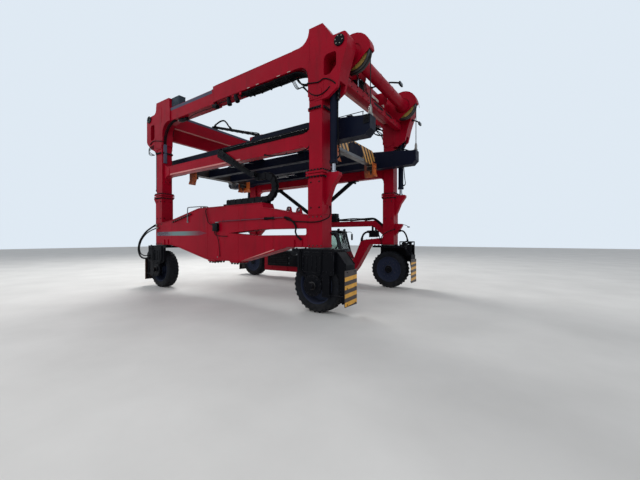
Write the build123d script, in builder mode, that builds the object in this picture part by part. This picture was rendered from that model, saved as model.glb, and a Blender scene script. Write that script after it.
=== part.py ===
"""Mobile straddle carrier for containers: four telescopic legs, rope hoist, 20 ft spreader.

Millimetres, +Z up, X along the length (front is +X), Y across (left is +Y).
The origin is on the ground, in the middle between the four wheels.
"""
from build123d import *
from math import atan2, cos, pi, radians, sin, tan
import os

os.makedirs("parts", exist_ok=True)

# Driving dimensions: wheels and legs
wheel_base = 6380
track = 4200
tyre_radius = 610
tyre_width = 356
rim_radius = 400
leg_size = 340
leg_gap = 5
sleeve_wall = 13
lift_stroke = 1200

# Driving heights
slew_top = 1430
beam_top_at_leg = 2150
sleeve_top = 3100
leg_bottom = 1550
mid_beam_bottom = 3690
mid_beam_top = 4000
head_seat = 4860
girder_bottom = 5420
girder_top = 5900
tower_top = 6240

# Driving sizes: hoist
hoist_outreach = 610
hoist_axis_z = 5720
tube_radius = 150
rope_radius = 12
rope_pitch_radius = 390
sheave_rim_radius = 400
sheave_width = 160
rope_inset = 300

# Driving sizes: load frame and 20 ft spreader
lift_beam_inset = 20
lift_beam_width = 300
lock_spacing_x = 5853
lock_spacing_y = 2259
lock_plane = 3770
lock_block_height = 130
lock_margin = 100.5
lock_radius = 30

# Clearances
run_clearance = 0.05
rod_clearance = 0.3
seat_gap = 0.3

# Places worked out from the driving dimensions
leg_x = wheel_base / 2
leg_y = track / 2
leg_half = leg_size / 2
pocket_size = leg_size + 2 * leg_gap
sleeve_half = pocket_size / 2 + sleeve_wall
sleeve_in_x = leg_x - sleeve_half
sleeve_out_x = leg_x + sleeve_half
head_half = leg_half + 10
head_out_x = leg_x + 795
girder_length_half = leg_y - head_half
hoist_axis_x = leg_x + hoist_outreach
rope_y = girder_length_half - rope_inset
lift_beam_y = rope_y - lift_beam_inset
spreader_bottom = lock_plane + lock_block_height
lock_x = lock_spacing_x / 2
lock_y = lock_spacing_y / 2

# Round forms are drawn with flat sides: degrees a chord turns, and sides of each form
corner_step = 24
wheel_sides = 24
wheel_turn = 180 / wheel_sides
drum_sides = 20
shaft_sides = 16
rod_sides = 12
rope_sides = 8

# corner name, sign along X, sign along Y
corners = [
    ("front_right", 1, -1),
    ("rear_right", -1, -1),
    ("front_left", 1, 1),
    ("rear_left", -1, 1),
]


def rounded(table):
    """The points of an outline, with each rounded corner as a few short chords."""
    points = []
    for place, (u, v, radius) in enumerate(table):
        corner = Vector(u, v)
        if not radius:
            points.append(corner)
            continue
        before = (Vector(*table[place - 1][:2]) - corner).normalized()
        after = (Vector(*table[(place + 1) % len(table)][:2]) - corner).normalized()
        half_angle = radians(before.get_angle(after)) / 2
        middle = corner + (before + after).normalized() * (radius / sin(half_angle))
        start = corner + before * (radius / tan(half_angle)) - middle
        start_angle = atan2(start.Y, start.X)
        turn = pi - 2 * half_angle
        if before.cross(after).Z > 0:
            turn = -turn
        steps = max(1, round(abs(turn) / radians(corner_step)))
        for step in range(steps + 1):
            angle = start_angle + turn * step / steps
            points.append(middle + Vector(cos(angle), sin(angle)) * radius)
    return points


def outline(plane, table):
    """A face drawn on a plane from rows of (u, v, corner radius)."""
    with BuildSketch(plane) as face:
        with BuildLine():
            Polyline(rounded(table), close=True)
        make_face()
    return face.sketch


def slab_along_y(table, y_from, y_to, mode=Mode.ADD):
    """Extrudes an outline of (x, z, corner radius) rows between two y values."""
    low, high = sorted((y_from, y_to))
    extrude(outline(Plane.XZ.offset(-high), table), amount=high - low, mode=mode)


def slab_along_x(table, x_from, x_to, mode=Mode.ADD):
    """Extrudes an outline of (y, z, corner radius) rows between two x values."""
    low, high = sorted((x_from, x_to))
    extrude(outline(Plane.YZ.offset(low), table), amount=high - low, mode=mode)


def slab_along_z(table, z_from, z_to, mode=Mode.ADD):
    """Extrudes an outline of (x, y, corner radius) rows between two z values."""
    low, high = sorted((z_from, z_to))
    extrude(outline(Plane.XY.offset(low), table), amount=high - low, mode=mode)


def block(x_pair, y_pair, z_pair, mode=Mode.ADD):
    """A box between two x, two y and two z values."""
    sizes = [abs(pair[1] - pair[0]) for pair in (x_pair, y_pair, z_pair)]
    middle = [(pair[0] + pair[1]) / 2 for pair in (x_pair, y_pair, z_pair)]
    with Locations(tuple(middle)):
        Box(*sizes, mode=mode)


def round_bar(start, end, radius, mode=Mode.ADD):
    """A cylinder from one point to another."""
    along = Vector(*end) - Vector(*start)
    with Locations(Plane(origin=start, z_dir=along)):
        Cylinder(radius, along.length, align=(Align.CENTER, Align.CENTER, Align.MIN), mode=mode)


def faceted_bar(start, end, radius, sides, mode=Mode.ADD, turn=0):
    """A many-sided bar from one point to another, with its corners at the radius."""
    along = Vector(*end) - Vector(*start)
    with BuildSketch(Plane(origin=start, z_dir=along)) as face:
        RegularPolygon(radius, sides, rotation=turn)
    extrude(face.sketch, amount=along.length, mode=mode)


def faceted_hole(start, end, radius, sides):
    """A many-sided hole whose flats lie at the radius and face the corners of its shaft."""
    faceted_bar(start, end, radius / cos(pi / sides), sides, Mode.SUBTRACT, 180 / sides)


def centred(centre, width):
    """The pair of values a width apart about a centre."""
    return (centre - width / 2, centre + width / 2)


def save(piece, name):
    """Names the finished piece and writes its file."""
    piece.part.label = name
    export_step(piece.part, f"parts/{name}.step")


# Right side beam: one deep plate box with a belly, a slit between its two chords and pockets
# for the inner legs
belly_z = 1020
right_beam_rows = [
    # x, z, corner radius
    (-sleeve_out_x, slew_top, 0),
    (-leg_x + 690, slew_top, 0),
    (-leg_x + 1100, 1370, 0),
    (-570, belly_z, 60),
    (780, belly_z, 60),
    (leg_x - 1240, 1300, 0),
    (leg_x - 790, slew_top, 0),
    (sleeve_out_x, slew_top, 0),
    (sleeve_out_x, beam_top_at_leg, 0),
    (leg_x - 210, beam_top_at_leg, 0),
    (1640, 2400, 0),
    (1590, 2520, 0),
    (-990, 2520, 0),
    (-leg_x + 770, 2220, 0),
    (-leg_x + 210, beam_top_at_leg, 0),
    (-sleeve_out_x, beam_top_at_leg, 0),
]
slit_rows = [
    # x, z, corner radius
    (300, 1775, 0),
    (1400, 1700, 0),
    (leg_x - 230, 1700, 60),
    (leg_x - 230, 1860, 60),
    (1500, 1860, 0),
]
pocket_bottom = leg_bottom - 50
lug_hole_radius = 25
lug_half_thickness = 20
lug_half_length = 110
# x and height of the hole of each lifting lug
lug_places = [
    (2300, 2340),
    (2600, 2300),
]
splice_z = 985
with BuildPart() as right_side_beam:
    slab_along_y(right_beam_rows, -leg_y - sleeve_half, -leg_y + sleeve_half)
    slab_along_y(slit_rows, -leg_y - sleeve_half, -leg_y + sleeve_half, Mode.SUBTRACT)
    for sign in (1, -1):
        block(
            centred(sign * leg_x, pocket_size),
            centred(-leg_y, pocket_size),
            (pocket_bottom, beam_top_at_leg),
            Mode.SUBTRACT,
        )
    for x, hole_z in lug_places:
        lug_rows = [
            # x, z, corner radius
            (x - lug_half_length, 2170, 0),
            (x + lug_half_length, 2170, 0),
            (x + 50, hole_z + 50, 40),
            (x - 50, hole_z + 50, 40),
        ]
        slab_along_y(lug_rows, -leg_y - lug_half_thickness, -leg_y + lug_half_thickness)
        round_bar(
            (x, -leg_y - lug_half_thickness, hole_z),
            (x, -leg_y + lug_half_thickness, hole_z),
            lug_hole_radius,
            Mode.SUBTRACT,
        )
    for splice_x in ((-560, -240), (380, 700)):
        block(splice_x, centred(-leg_y, 2 * sleeve_half), (splice_z, belly_z + 1))
save(right_side_beam, "right_side_beam")

# Left side: an upper chord whose ends kneel down to the leg sleeves
chord_half = 100
left_chord_rows = [
    # x, z, corner radius
    (-sleeve_in_x, 1720, 0),
    (-leg_x + 590, 2060, 120),
    (leg_x - 590, 2060, 120),
    (sleeve_in_x, 1720, 0),
    (sleeve_in_x, 1980, 0),
    (leg_x - 510, 2240, 120),
    (-leg_x + 510, 2240, 120),
    (-sleeve_in_x, 1980, 0),
]
with BuildPart() as left_side_beam:
    slab_along_y(left_chord_rows, leg_y - chord_half, leg_y + chord_half)
save(left_side_beam, "left_side_beam")

# Left side: the drop frame that carries the power pack and the cab close to the ground
rail_top = 500
rail_bottom = 280
rail_half = 150
drop_frame_rows = [
    # x, z, corner radius
    (sleeve_in_x, slew_top, 0),
    (leg_x - 690, slew_top, 40),
    (leg_x - 1190, 600, 60),
    (leg_x - 1470, rail_bottom, 60),
    (-leg_x + 710, rail_bottom, 60),
    (-leg_x + 710, slew_top, 0),
    (-sleeve_in_x, slew_top, 0),
    (-sleeve_in_x, 1640, 0),
    (-leg_x + 850, 1640, 60),
    (-leg_x + 940, 1540, 60),
    (-leg_x + 940, rail_top, 0),
    (leg_x - 1630, rail_top, 60),
    (leg_x - 1340, 820, 60),
    (leg_x - 1010, 1570, 60),
    (sleeve_in_x, 1650, 0),
]
with BuildPart() as left_drop_frame:
    slab_along_y(drop_frame_rows, leg_y - rail_half, leg_y + rail_half)
save(left_drop_frame, "left_drop_frame")

# Leg sleeves: square tubes with a bolted flange, a cylinder lug and, on the left, base ears
flange_half = 225
lug_outer_x = leg_x + 520
cylinder_x = leg_x + 360
rod_seat_z = 3050
lug_half_width = 75
lift_lug_rows = [
    # distance outward from the leg centre, z, corner radius
    (sleeve_half, rod_seat_z, 0),
    (520, rod_seat_z, 20),
    (530, 2980, 30),
    (370, 2760, 90),
    (290, 2560, 60),
    (sleeve_half, 2350, 0),
]
base_ear_rows = [
    # distance outward from the leg centre, z, corner radius
    (sleeve_half, 2120, 0),
    (430, 2110, 20),
    (420, 2040, 20),
    (sleeve_half, 1700, 0),
]
with BuildPart() as leg_sleeves:
    for name, sx, sy in corners:
        tube_bottom = beam_top_at_leg if sy < 0 else slew_top
        hole_bottom = beam_top_at_leg if sy < 0 else pocket_bottom
        y_mid = sy * leg_y
        block(centred(sx * leg_x, 2 * sleeve_half), centred(y_mid, 2 * sleeve_half),
              (tube_bottom, sleeve_top))
        for flange_z in ((2990, 3035), (3055, sleeve_top)):
            block(centred(sx * leg_x, 2 * flange_half), centred(y_mid, 2 * flange_half), flange_z)
        lug_rows = [(sx * (leg_x + u), z, radius) for u, z, radius in lift_lug_rows]
        slab_along_y(lug_rows, y_mid - lug_half_width, y_mid + lug_half_width)
        if sy > 0:
            ear_rows = [(sx * (leg_x + u), z, radius) for u, z, radius in base_ear_rows]
            slab_along_y(ear_rows, y_mid - 60, y_mid + 60)
        block(centred(sx * leg_x, pocket_size), centred(y_mid, pocket_size),
              (hole_bottom, sleeve_top), Mode.SUBTRACT)
save(leg_sleeves, "leg_sleeves")

# Slewing rings bolted under the side beams
ring_radius = 260
ring_thickness = 30
kingpin_radius = 80
with BuildPart() as slew_rings:
    for name, sx, sy in corners:
        centre = (sx * leg_x, sy * leg_y)
        faceted_bar((*centre, slew_top - ring_thickness), (*centre, slew_top), ring_radius,
                    drum_sides)
        faceted_hole((*centre, slew_top - ring_thickness), (*centre, slew_top),
                     kingpin_radius + run_clearance, shaft_sides)
save(slew_rings, "slew_rings")

# Lift cylinders outside the legs: rods stand on the sleeve lugs, barrels hang from the heads
rod_radius = 45
rod_top = 4760
barrel_radius = 80
barrel_bottom = 3250
barrel_top = 4900
with BuildPart() as lift_rods:
    for name, sx, sy in corners:
        x, y = sx * cylinder_x, sy * leg_y
        faceted_bar((x, y, rod_seat_z), (x, y, rod_top), rod_radius, rod_sides)
        faceted_bar((x, y, rod_seat_z), (x, y, rod_seat_z + 35), rod_radius + 25, rod_sides)
save(lift_rods, "lift_rods")

with BuildPart() as lift_barrels:
    for name, sx, sy in corners:
        x, y = sx * cylinder_x, sy * leg_y
        faceted_bar((x, y, barrel_bottom), (x, y, barrel_top), barrel_radius, shaft_sides)
        faceted_bar((x, y, barrel_bottom), (x, y, barrel_bottom + 60), barrel_radius + 12,
                    shaft_sides)
        faceted_bar((x, y, barrel_bottom), (x, y, barrel_top - 100), rod_radius + rod_clearance,
                    rod_sides, Mode.SUBTRACT)
save(lift_barrels, "lift_barrels")

# Inner legs
leg_ring_z = (4440, 4500)
with BuildPart() as inner_legs:
    for name, sx, sy in corners:
        block(centred(sx * leg_x, leg_size), centred(sy * leg_y, leg_size),
              (leg_bottom, head_seat))
        block(centred(sx * leg_x, leg_size + 40), centred(sy * leg_y, leg_size + 40), leg_ring_z)
save(inner_legs, "inner_legs")

# Heads: big profiled plates on the legs that carry the hoist tube, welded to the top beams
outer_beam_bottom = 5480
outer_beam_top = 5920
beam_step_x = -350
front_head_rows = [
    # x, z, corner radius
    (beam_step_x, outer_beam_bottom, 0),
    (leg_x - 200, outer_beam_bottom, 260),
    (leg_x - leg_half - 30, 4760, 0),
    (leg_x - 10, 4620, 90),
    (leg_x + 310, 4620, 90),
    (leg_x + 560, 4780, 60),
    (leg_x + 655, 5180, 60),
    (head_out_x, 5600, 60),
    (head_out_x, 5880, 105),
    (leg_x + 440, 5880, 60),
    (leg_x + 190, tower_top, 0),
    (leg_x - leg_half, tower_top, 0),
    (leg_x - 200, outer_beam_top, 280),
    (beam_step_x, outer_beam_top, 0),
]
inner_beam_bottom = 5440
inner_beam_top = 5850
rear_tower_top = 6180
rear_head_rows = [
    # x, z, corner radius
    (beam_step_x, inner_beam_top, 0),
    (-leg_x + 630, inner_beam_top, 0),
    (-leg_x + 630, rear_tower_top, 40),
    (-leg_x - 170, rear_tower_top, 0),
    (-leg_x - 210, 5830, 150),
    (-head_out_x, 5800, 130),
    (-head_out_x, 4930, 160),
    (-leg_x - 510, 4690, 80),
    (-leg_x - leg_half - 20, 4540, 0),
    (-leg_x + 200, 4740, 0),
    (-leg_x + 200, inner_beam_bottom, 330),
    (beam_step_x, inner_beam_bottom, 0),
]
window_wall = 20
front_window_rows = [
    # x, z, corner radius
    (leg_x + 220, 5100, 60),
    (leg_x + 370, 5100, 60),
    (leg_x + 530, 5240, 60),
    (leg_x + 530, 5540, 60),
    (leg_x + 220, 5540, 110),
]
rear_window_rows = [
    # x, z, corner radius
    (-leg_x - 530, 4980, 60),
    (-leg_x - 290, 4980, 110),
    (-leg_x - 290, 5500, 60),
    (-leg_x - 530, 5500, 60),
]
head_low_z = 4400
journal_radius = 70
journal_length = 60
cap_radius = 112
barrel_room = 110


def head_and_beam(rows, window_rows, sx, sy, beam_half):
    """One head plate box with its stretch of top beam, hollowed for window, leg and cylinder."""
    y_mid = sy * leg_y
    slab_along_y(rows, y_mid - head_half, y_mid + head_half)
    beam_trim = head_half - beam_half
    beam_x = (sx * (leg_x - 650), beam_step_x)
    for side in (1, -1):
        face_y = y_mid + side * head_half
        block(beam_x, (face_y, face_y - side * beam_trim), (inner_beam_bottom - 100, tower_top),
              Mode.SUBTRACT)
    outer_face = y_mid + sy * head_half
    slab_along_y(window_rows, outer_face, outer_face - sy * (2 * head_half - window_wall),
                 Mode.SUBTRACT)
    block(centred(sx * leg_x, leg_size), centred(y_mid, leg_size), (head_low_z, head_seat),
          Mode.SUBTRACT)
    block((sx * (leg_x + leg_half), sx * (head_out_x + 100)), centred(y_mid, 2 * barrel_room),
          (head_low_z, barrel_top + 20), Mode.SUBTRACT)
    inner_face = y_mid - sy * head_half
    faceted_hole((sx * hoist_axis_x, inner_face, hoist_axis_z),
                 (sx * hoist_axis_x, inner_face + sy * (journal_length + 10), hoist_axis_z),
                 journal_radius + run_clearance, shaft_sides)
    faceted_bar((sx * hoist_axis_x, outer_face - sy * 5, hoist_axis_z),
                (sx * hoist_axis_x, outer_face + sy * 25, hoist_axis_z), cap_radius, drum_sides)
    faceted_bar((sx * cylinder_x, y_mid, barrel_top), (sx * cylinder_x, y_mid, barrel_top + 30),
                barrel_radius - 20, shaft_sides)


with BuildPart() as front_head_beams:
    for sy in (1, -1):
        head_and_beam(front_head_rows, front_window_rows, 1, sy, leg_half)
save(front_head_beams, "front_head_beams")

with BuildPart() as rear_head_beams:
    for sy in (1, -1):
        head_and_beam(rear_head_rows, rear_window_rows, -1, sy, leg_half - 20)
save(rear_head_beams, "rear_head_beams")

# End girders between the heads, each with an outer shelf under its sheaves
girder_in_x = leg_x - head_half
girder_out_x = leg_x + head_half
shelf_half = girder_length_half - 70
with BuildPart() as end_girders:
    for sx in (1, -1):
        girder_rows = [
            # x, z, corner radius
            (sx * girder_in_x, girder_bottom, 0),
            (sx * girder_out_x, girder_bottom, 0),
            (sx * girder_out_x, girder_top, 60),
            (sx * girder_in_x, girder_top, 60),
        ]
        slab_along_y(girder_rows, -girder_length_half, girder_length_half)
        shelf_rows = [
            # x, z, corner radius
            (sx * girder_out_x, girder_bottom, 0),
            (sx * (girder_out_x + 270), 5290, 30),
            (sx * (girder_out_x + 270), 5100, 30),
            (sx * (girder_out_x + 110), 5100, 30),
            (sx * (girder_in_x + 200), girder_bottom, 0),
        ]
        slab_along_y(shelf_rows, -shelf_half, shelf_half)
save(end_girders, "end_girders")

# Middle side beams between the legs, with filleted ends
mid_beam_y = (leg_y - 100, leg_y + 100)
mid_end_x = leg_x - leg_half
mid_beam_rows = [
    # x, z, corner radius
    (-mid_end_x, 3470, 0),
    (-mid_end_x + 30, 3470, 0),
    (-mid_end_x + 30, mid_beam_bottom, 190),
    (mid_end_x - 30, mid_beam_bottom, 190),
    (mid_end_x - 30, 3470, 0),
    (mid_end_x, 3470, 0),
    (mid_end_x, 4120, 0),
    (mid_end_x - 30, 4120, 0),
    (mid_end_x - 30, mid_beam_top, 90),
    (-mid_end_x + 30, mid_beam_top, 90),
    (-mid_end_x + 30, 4120, 0),
    (-mid_end_x, 4120, 0),
]
with BuildPart() as mid_beams:
    for sy in (1, -1):
        slab_along_y(mid_beam_rows, sy * mid_beam_y[0], sy * mid_beam_y[1])
save(mid_beams, "mid_beams")

# Dark hose tray on the right middle beam
with BuildPart() as hose_tray:
    block((-200, mid_end_x - 170), (-mid_beam_y[1], -mid_beam_y[0]),
          (mid_beam_top, mid_beam_top + 130))
    block((-190, mid_end_x - 180), (-mid_beam_y[1] + 12, -mid_beam_y[0] - 12),
          (mid_beam_top + 12, mid_beam_top + 130), Mode.SUBTRACT)
save(hose_tray, "hose_tray")

# Black V brace under the left middle beam
brace_top_x = 1850
brace_foot_z = 2500
brace_radius = 75
brace_plate_width = 180
with BuildPart() as v_brace:
    for side in (1, -1):
        faceted_bar((0, leg_y, brace_foot_z),
                    (side * brace_top_x, leg_y, mid_beam_bottom + 60), brace_radius, rod_sides)
        block(centred(side * (brace_top_x - 60), 360), centred(leg_y, brace_plate_width),
              (mid_beam_bottom - 20, mid_beam_bottom))
    block((-150, 150), centred(leg_y, brace_plate_width), (brace_foot_z - 75, brace_foot_z + 40))
    block((-mid_end_x, mid_end_x), centred(leg_y, 400),
          (mid_beam_bottom, mid_beam_bottom + 300), Mode.SUBTRACT)
save(v_brace, "v_brace")

# Energy chain: tray on the right side beam, chain loop, and the arm that holds its upper end
chain_y = (-leg_y - 60, -leg_y + 60)
tray_top = 2570
chain_height = 170
chain_bend_x = 1560
chain_upper_top = 3290
with BuildPart() as chain_tray:
    block((50, 1590), (-leg_y - 130, -leg_y + 130), (2520, tray_top))
    block((60, 1600), (-leg_y - 118, -leg_y + 118), (2532, tray_top), Mode.SUBTRACT)
save(chain_tray, "chain_tray")

chain_bottom = 2532
bend_outer = (chain_upper_top - chain_bottom) / 2
bend_inner = bend_outer - chain_height
bend_centre_z = chain_bottom + bend_outer
with BuildPart() as energy_chain:
    with BuildSketch(Plane.XZ.offset(-chain_y[1])) as chain_face:
        with Locations((chain_bend_x, bend_centre_z)):
            Circle(bend_outer)
            Circle(bend_inner, mode=Mode.SUBTRACT)
        with Locations((chain_bend_x - bend_outer / 2, bend_centre_z)):
            Rectangle(bend_outer, 2 * bend_outer, mode=Mode.SUBTRACT)
        with Locations(((90 + chain_bend_x) / 2, chain_bottom + chain_height / 2)):
            Rectangle(chain_bend_x - 90, chain_height)
        with Locations(((1200 + chain_bend_x) / 2, chain_upper_top - chain_height / 2)):
            Rectangle(chain_bend_x - 1200, chain_height)
    extrude(amount=chain_y[1] - chain_y[0])
save(energy_chain, "energy_chain")

arm_rows = [
    # x, z, corner radius
    (-150, 4060, 30),
    (-150, 3900, 0),
    (1180, 3200, 20),
    (1290, 3200, 20),
    (1290, 3300, 0),
    (1200, 3300, 0),
    (20, 4060, 60),
]
arm_y = (-mid_beam_y[1] - 80, -mid_beam_y[1])
with BuildPart() as chain_arm:
    slab_along_y(arm_rows, arm_y[0], arm_y[1])
    block((1200, 1290), (arm_y[0], chain_y[1]), (chain_upper_top + seat_gap, chain_upper_top + 30))
save(chain_arm, "chain_arm")

# Hoist: a torque tube at each end with two rope sheaves and journals in the heads
tube_half = girder_length_half - 20
groove_radius = rope_pitch_radius - rope_radius - 0.5
sheave_half = sheave_width / 2
groove_half = 30
collar_radius = 205
stub_radius = tube_radius - 20
# distance along the axis where a stretch starts and ends, radius, sides
side_stretches = [
    (rope_y - sheave_half - 40, rope_y - sheave_half, collar_radius, drum_sides),
    (rope_y - sheave_half, rope_y - groove_half, sheave_rim_radius, wheel_sides),
    (rope_y - groove_half, rope_y + groove_half, groove_radius, wheel_sides),
    (rope_y + groove_half, rope_y + sheave_half, sheave_rim_radius, wheel_sides),
    (rope_y + sheave_half, tube_half, stub_radius, shaft_sides),
    (tube_half, girder_length_half + journal_length, journal_radius, shaft_sides),
]


def hoist_tube(sx):
    """One torque tube along Y with its two sheaves and its journals."""
    x, z = sx * hoist_axis_x, hoist_axis_z
    reach = rope_y - sheave_half
    faceted_bar((x, -reach, z), (x, reach, z), tube_radius, drum_sides)
    for side in (1, -1):
        for start, end, radius, sides in side_stretches:
            low, high = sorted((side * start, side * end))
            faceted_bar((x, low, z), (x, high, z), radius, sides)


for end_name, sx in (("front", 1), ("rear", -1)):
    with BuildPart() as hoist_drum:
        hoist_tube(sx)
    save(hoist_drum, f"hoist_tube_{end_name}")

# Sheave guards: red half covers bolted to the girders
guard_radius = 440
guard_room = 415
guard_half = sheave_half + 20
guard_wall = 8
with BuildPart() as sheave_guards:
    for name, sx, sy in corners:
        y_low, y_high = sy * rope_y - guard_half, sy * rope_y + guard_half
        x, z = sx * hoist_axis_x, hoist_axis_z
        faceted_bar((x, y_low, z), (x, y_high, z), guard_radius, wheel_sides)
        faceted_bar((x, y_low + guard_wall, z), (x, y_high - guard_wall, z), guard_room,
                    wheel_sides, Mode.SUBTRACT)
        faceted_bar((x, y_low, z), (x, y_high, z), collar_radius + 20, drum_sides, Mode.SUBTRACT)
        open_rows = [
            # x, z, corner radius
            (x + sx * 600, z + 123, 0),
            (x - sx * 250, z - 500, 0),
            (x + sx * 600, z - 500, 0),
        ]
        slab_along_y(open_rows, y_low, y_high, Mode.SUBTRACT)
        block((sx * girder_in_x, sx * girder_out_x), (y_low, y_high),
              (z - guard_radius, z + guard_radius), Mode.SUBTRACT)
save(sheave_guards, "sheave_guards")

# Hoist ropes from the sheaves to the load frame
rope_x = hoist_axis_x + rope_pitch_radius
rope_end_z = spreader_bottom + 640
with BuildPart() as hoist_ropes:
    for name, sx, sy in corners:
        x, y = sx * rope_x, sy * rope_y
        faceted_bar((x, y, rope_end_z), (x, y, hoist_axis_z), rope_radius, rope_sides)
save(hoist_ropes, "hoist_ropes")

# Lamp stalks and the equipment box on the upper frame
lamp_y = 300
stalk_half = 15
lamp_stalk_rows = [
    # x, z, corner radius
    (girder_out_x - 120, girder_top, 0),
    (girder_out_x - 120, girder_top + 25, 0),
    (hoist_axis_x + 30, girder_top + 25, 0),
    (hoist_axis_x + 400, girder_top - 85, 0),
    (hoist_axis_x + 390, girder_top - 110, 0),
    (hoist_axis_x + 25, girder_top, 0),
]
corner_lamp_foot = (head_out_x - 65, leg_y, 5440)
corner_lamp_end = (head_out_x + 155, leg_y + 110, 5310)
box_x = (-leg_x + 640, -leg_x + 1070)
with BuildPart() as lamps:
    slab_along_y(lamp_stalk_rows, lamp_y - stalk_half, lamp_y + stalk_half)
    block((hoist_axis_x + 375, hoist_axis_x + 405), centred(lamp_y, 220),
          (girder_top - 180, girder_top - 70))
    faceted_bar(corner_lamp_foot, corner_lamp_end, 14, rope_sides)
    block(centred(corner_lamp_end[0], 30), centred(corner_lamp_end[1], 150),
          centred(corner_lamp_end[2], 80))
    slab_along_y(front_head_rows, leg_y - head_half, leg_y + head_half, Mode.SUBTRACT)
    block(box_x, centred(-leg_y, 220), (inner_beam_top, inner_beam_top + 320))
save(lamps, "lamps")

# Load frame: two long lifting beams hung on the ropes
beam_tip_x = rope_x + 50
beam_tip_top = spreader_bottom + 390
tip_length = 130
lift_beam_top = spreader_bottom + 540
low_beam_top = spreader_bottom + 450


def lift_beam_rows(tall_from):
    """Outline of a lifting beam whose tall middle starts at one x value."""
    return [
        # x, z, corner radius
        (-beam_tip_x, beam_tip_top, 0),
        (-beam_tip_x, spreader_bottom + 90, 0),
        (-beam_tip_x + 120, spreader_bottom - 30, 0),
        (-lock_x - 23.5, spreader_bottom - 30, 0),
        (-lock_x + 176.5, spreader_bottom + 30, 0),
        (lock_x - 176.5, spreader_bottom + 30, 0),
        (lock_x + 23.5, spreader_bottom - 30, 0),
        (beam_tip_x - 120, spreader_bottom - 30, 0),
        (beam_tip_x, spreader_bottom + 90, 0),
        (beam_tip_x, beam_tip_top, 0),
        (beam_tip_x - tip_length, beam_tip_top, 0),
        (beam_tip_x - 840, low_beam_top + 20, 0),
        (2600, lift_beam_top, 0),
        (tall_from + 100, lift_beam_top, 0),
        (tall_from, low_beam_top, 0),
        (-beam_tip_x + 840, low_beam_top, 0),
        (-beam_tip_x + tip_length, beam_tip_top, 0),
    ]


# side name, sign along Y, where the tall middle starts
for side_name, sy, tall_from in (("right", -1, 600), ("left", 1, -2100)):
    with BuildPart() as lift_beam:
        slab_along_y(lift_beam_rows(tall_from), *centred(sy * lift_beam_y, lift_beam_width))
    save(lift_beam, f"lift_beam_{side_name}")

socket_radius = 38
clevis_height = 55
with BuildPart() as rope_sockets:
    for name, sx, sy in corners:
        x, y = sx * rope_x, sy * rope_y
        block(centred(x, 80), centred(y, 90), (beam_tip_top, beam_tip_top + clevis_height))
        faceted_bar((x, y, beam_tip_top + clevis_height), (x, y, rope_end_z), socket_radius,
                    rod_sides)
save(rope_sockets, "rope_sockets")

# Spreader: striped end beams, two long beams and two cross beams above them
end_beam_x = (lock_x - 96.5, lock_x + 103.5)
end_beam_half = lock_y + lock_margin
end_beam_top = spreader_bottom + 430
cross_beam_bottom = spreader_bottom + 250
long_beam_y = 500
with BuildPart() as spreader_ends:
    for sx in (1, -1):
        end_rows = [
            # y, z, corner radius
            (-end_beam_half, spreader_bottom, 0),
            (end_beam_half, spreader_bottom, 0),
            (end_beam_half, end_beam_top - 150, 0),
            (end_beam_half - 230, end_beam_top, 0),
            (-end_beam_half + 230, end_beam_top, 0),
            (-end_beam_half, end_beam_top - 150, 0),
        ]
        slab_along_x(end_rows, sx * end_beam_x[0], sx * end_beam_x[1])
save(spreader_ends, "spreader_ends")

with BuildPart() as spreader_beams:
    for sy in (1, -1):
        block((-end_beam_x[0], end_beam_x[0]), centred(sy * long_beam_y, 200),
              (spreader_bottom, cross_beam_bottom))
save(spreader_beams, "spreader_beams")

cross_beam_x = 1500
lift_inner_y = lift_beam_y - lift_beam_width / 2
with BuildPart() as cross_beams:
    for sx in (1, -1):
        block(centred(sx * cross_beam_x, 240), (-lift_inner_y, lift_inner_y),
              (cross_beam_bottom, cross_beam_bottom + 180))
save(cross_beams, "cross_beams")

# Side shift of the spreader: a plate and a cylinder on each side, between long and lifting beam
shift_x = (-1030, 50)
shift_y = 1100
shift_z = spreader_bottom + 100
shift_plate_z = (cross_beam_bottom - 15, cross_beam_bottom)
with BuildPart() as side_shift:
    for sy in (1, -1):
        y = sy * shift_y
        block(shift_x, (sy * (long_beam_y + 100), sy * lift_inner_y), shift_plate_z)
        block((-940, -860), centred(y, 160), (shift_z - 60, shift_plate_z[0]))
        block((-100, -20), centred(y, 100), (shift_z - 60, shift_plate_z[0]))
        faceted_bar((-980, y, shift_z), (-520, y, shift_z), 62, rod_sides)
        faceted_bar((-520, y, shift_z), (-440, y, shift_z), 78, rod_sides)
        faceted_bar((-440, y, shift_z), (-50, y, shift_z), 24, rope_sides)
save(side_shift, "side_shift")

# Motor of the twist locks on the rear end beam
with BuildPart() as lock_drive:
    block((-end_beam_x[1] - 180, -end_beam_x[1]), (640, 900),
          (spreader_bottom - 40, spreader_bottom + 90))
    faceted_bar((-end_beam_x[1] - 90, 770, spreader_bottom - 210),
                (-end_beam_x[1] - 90, 770, spreader_bottom - 40), 85, rod_sides)
save(lock_drive, "lock_drive")

# Twist locks under the corners at container spacing
lock_block_half = 90
with BuildPart() as twist_locks:
    for name, sx, sy in corners:
        x, y = sx * lock_x, sy * lock_y
        block(centred(x, 2 * lock_block_half), centred(y, 2 * lock_block_half),
              (lock_plane, spreader_bottom))
        round_bar((x, y, lock_plane - 90), (x, y, lock_plane + 10), lock_radius)
        faceted_bar((x, y, lock_plane - 140), (x, y, lock_plane - 90), 20, rope_sides)
save(twist_locks, "twist_locks")

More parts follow.
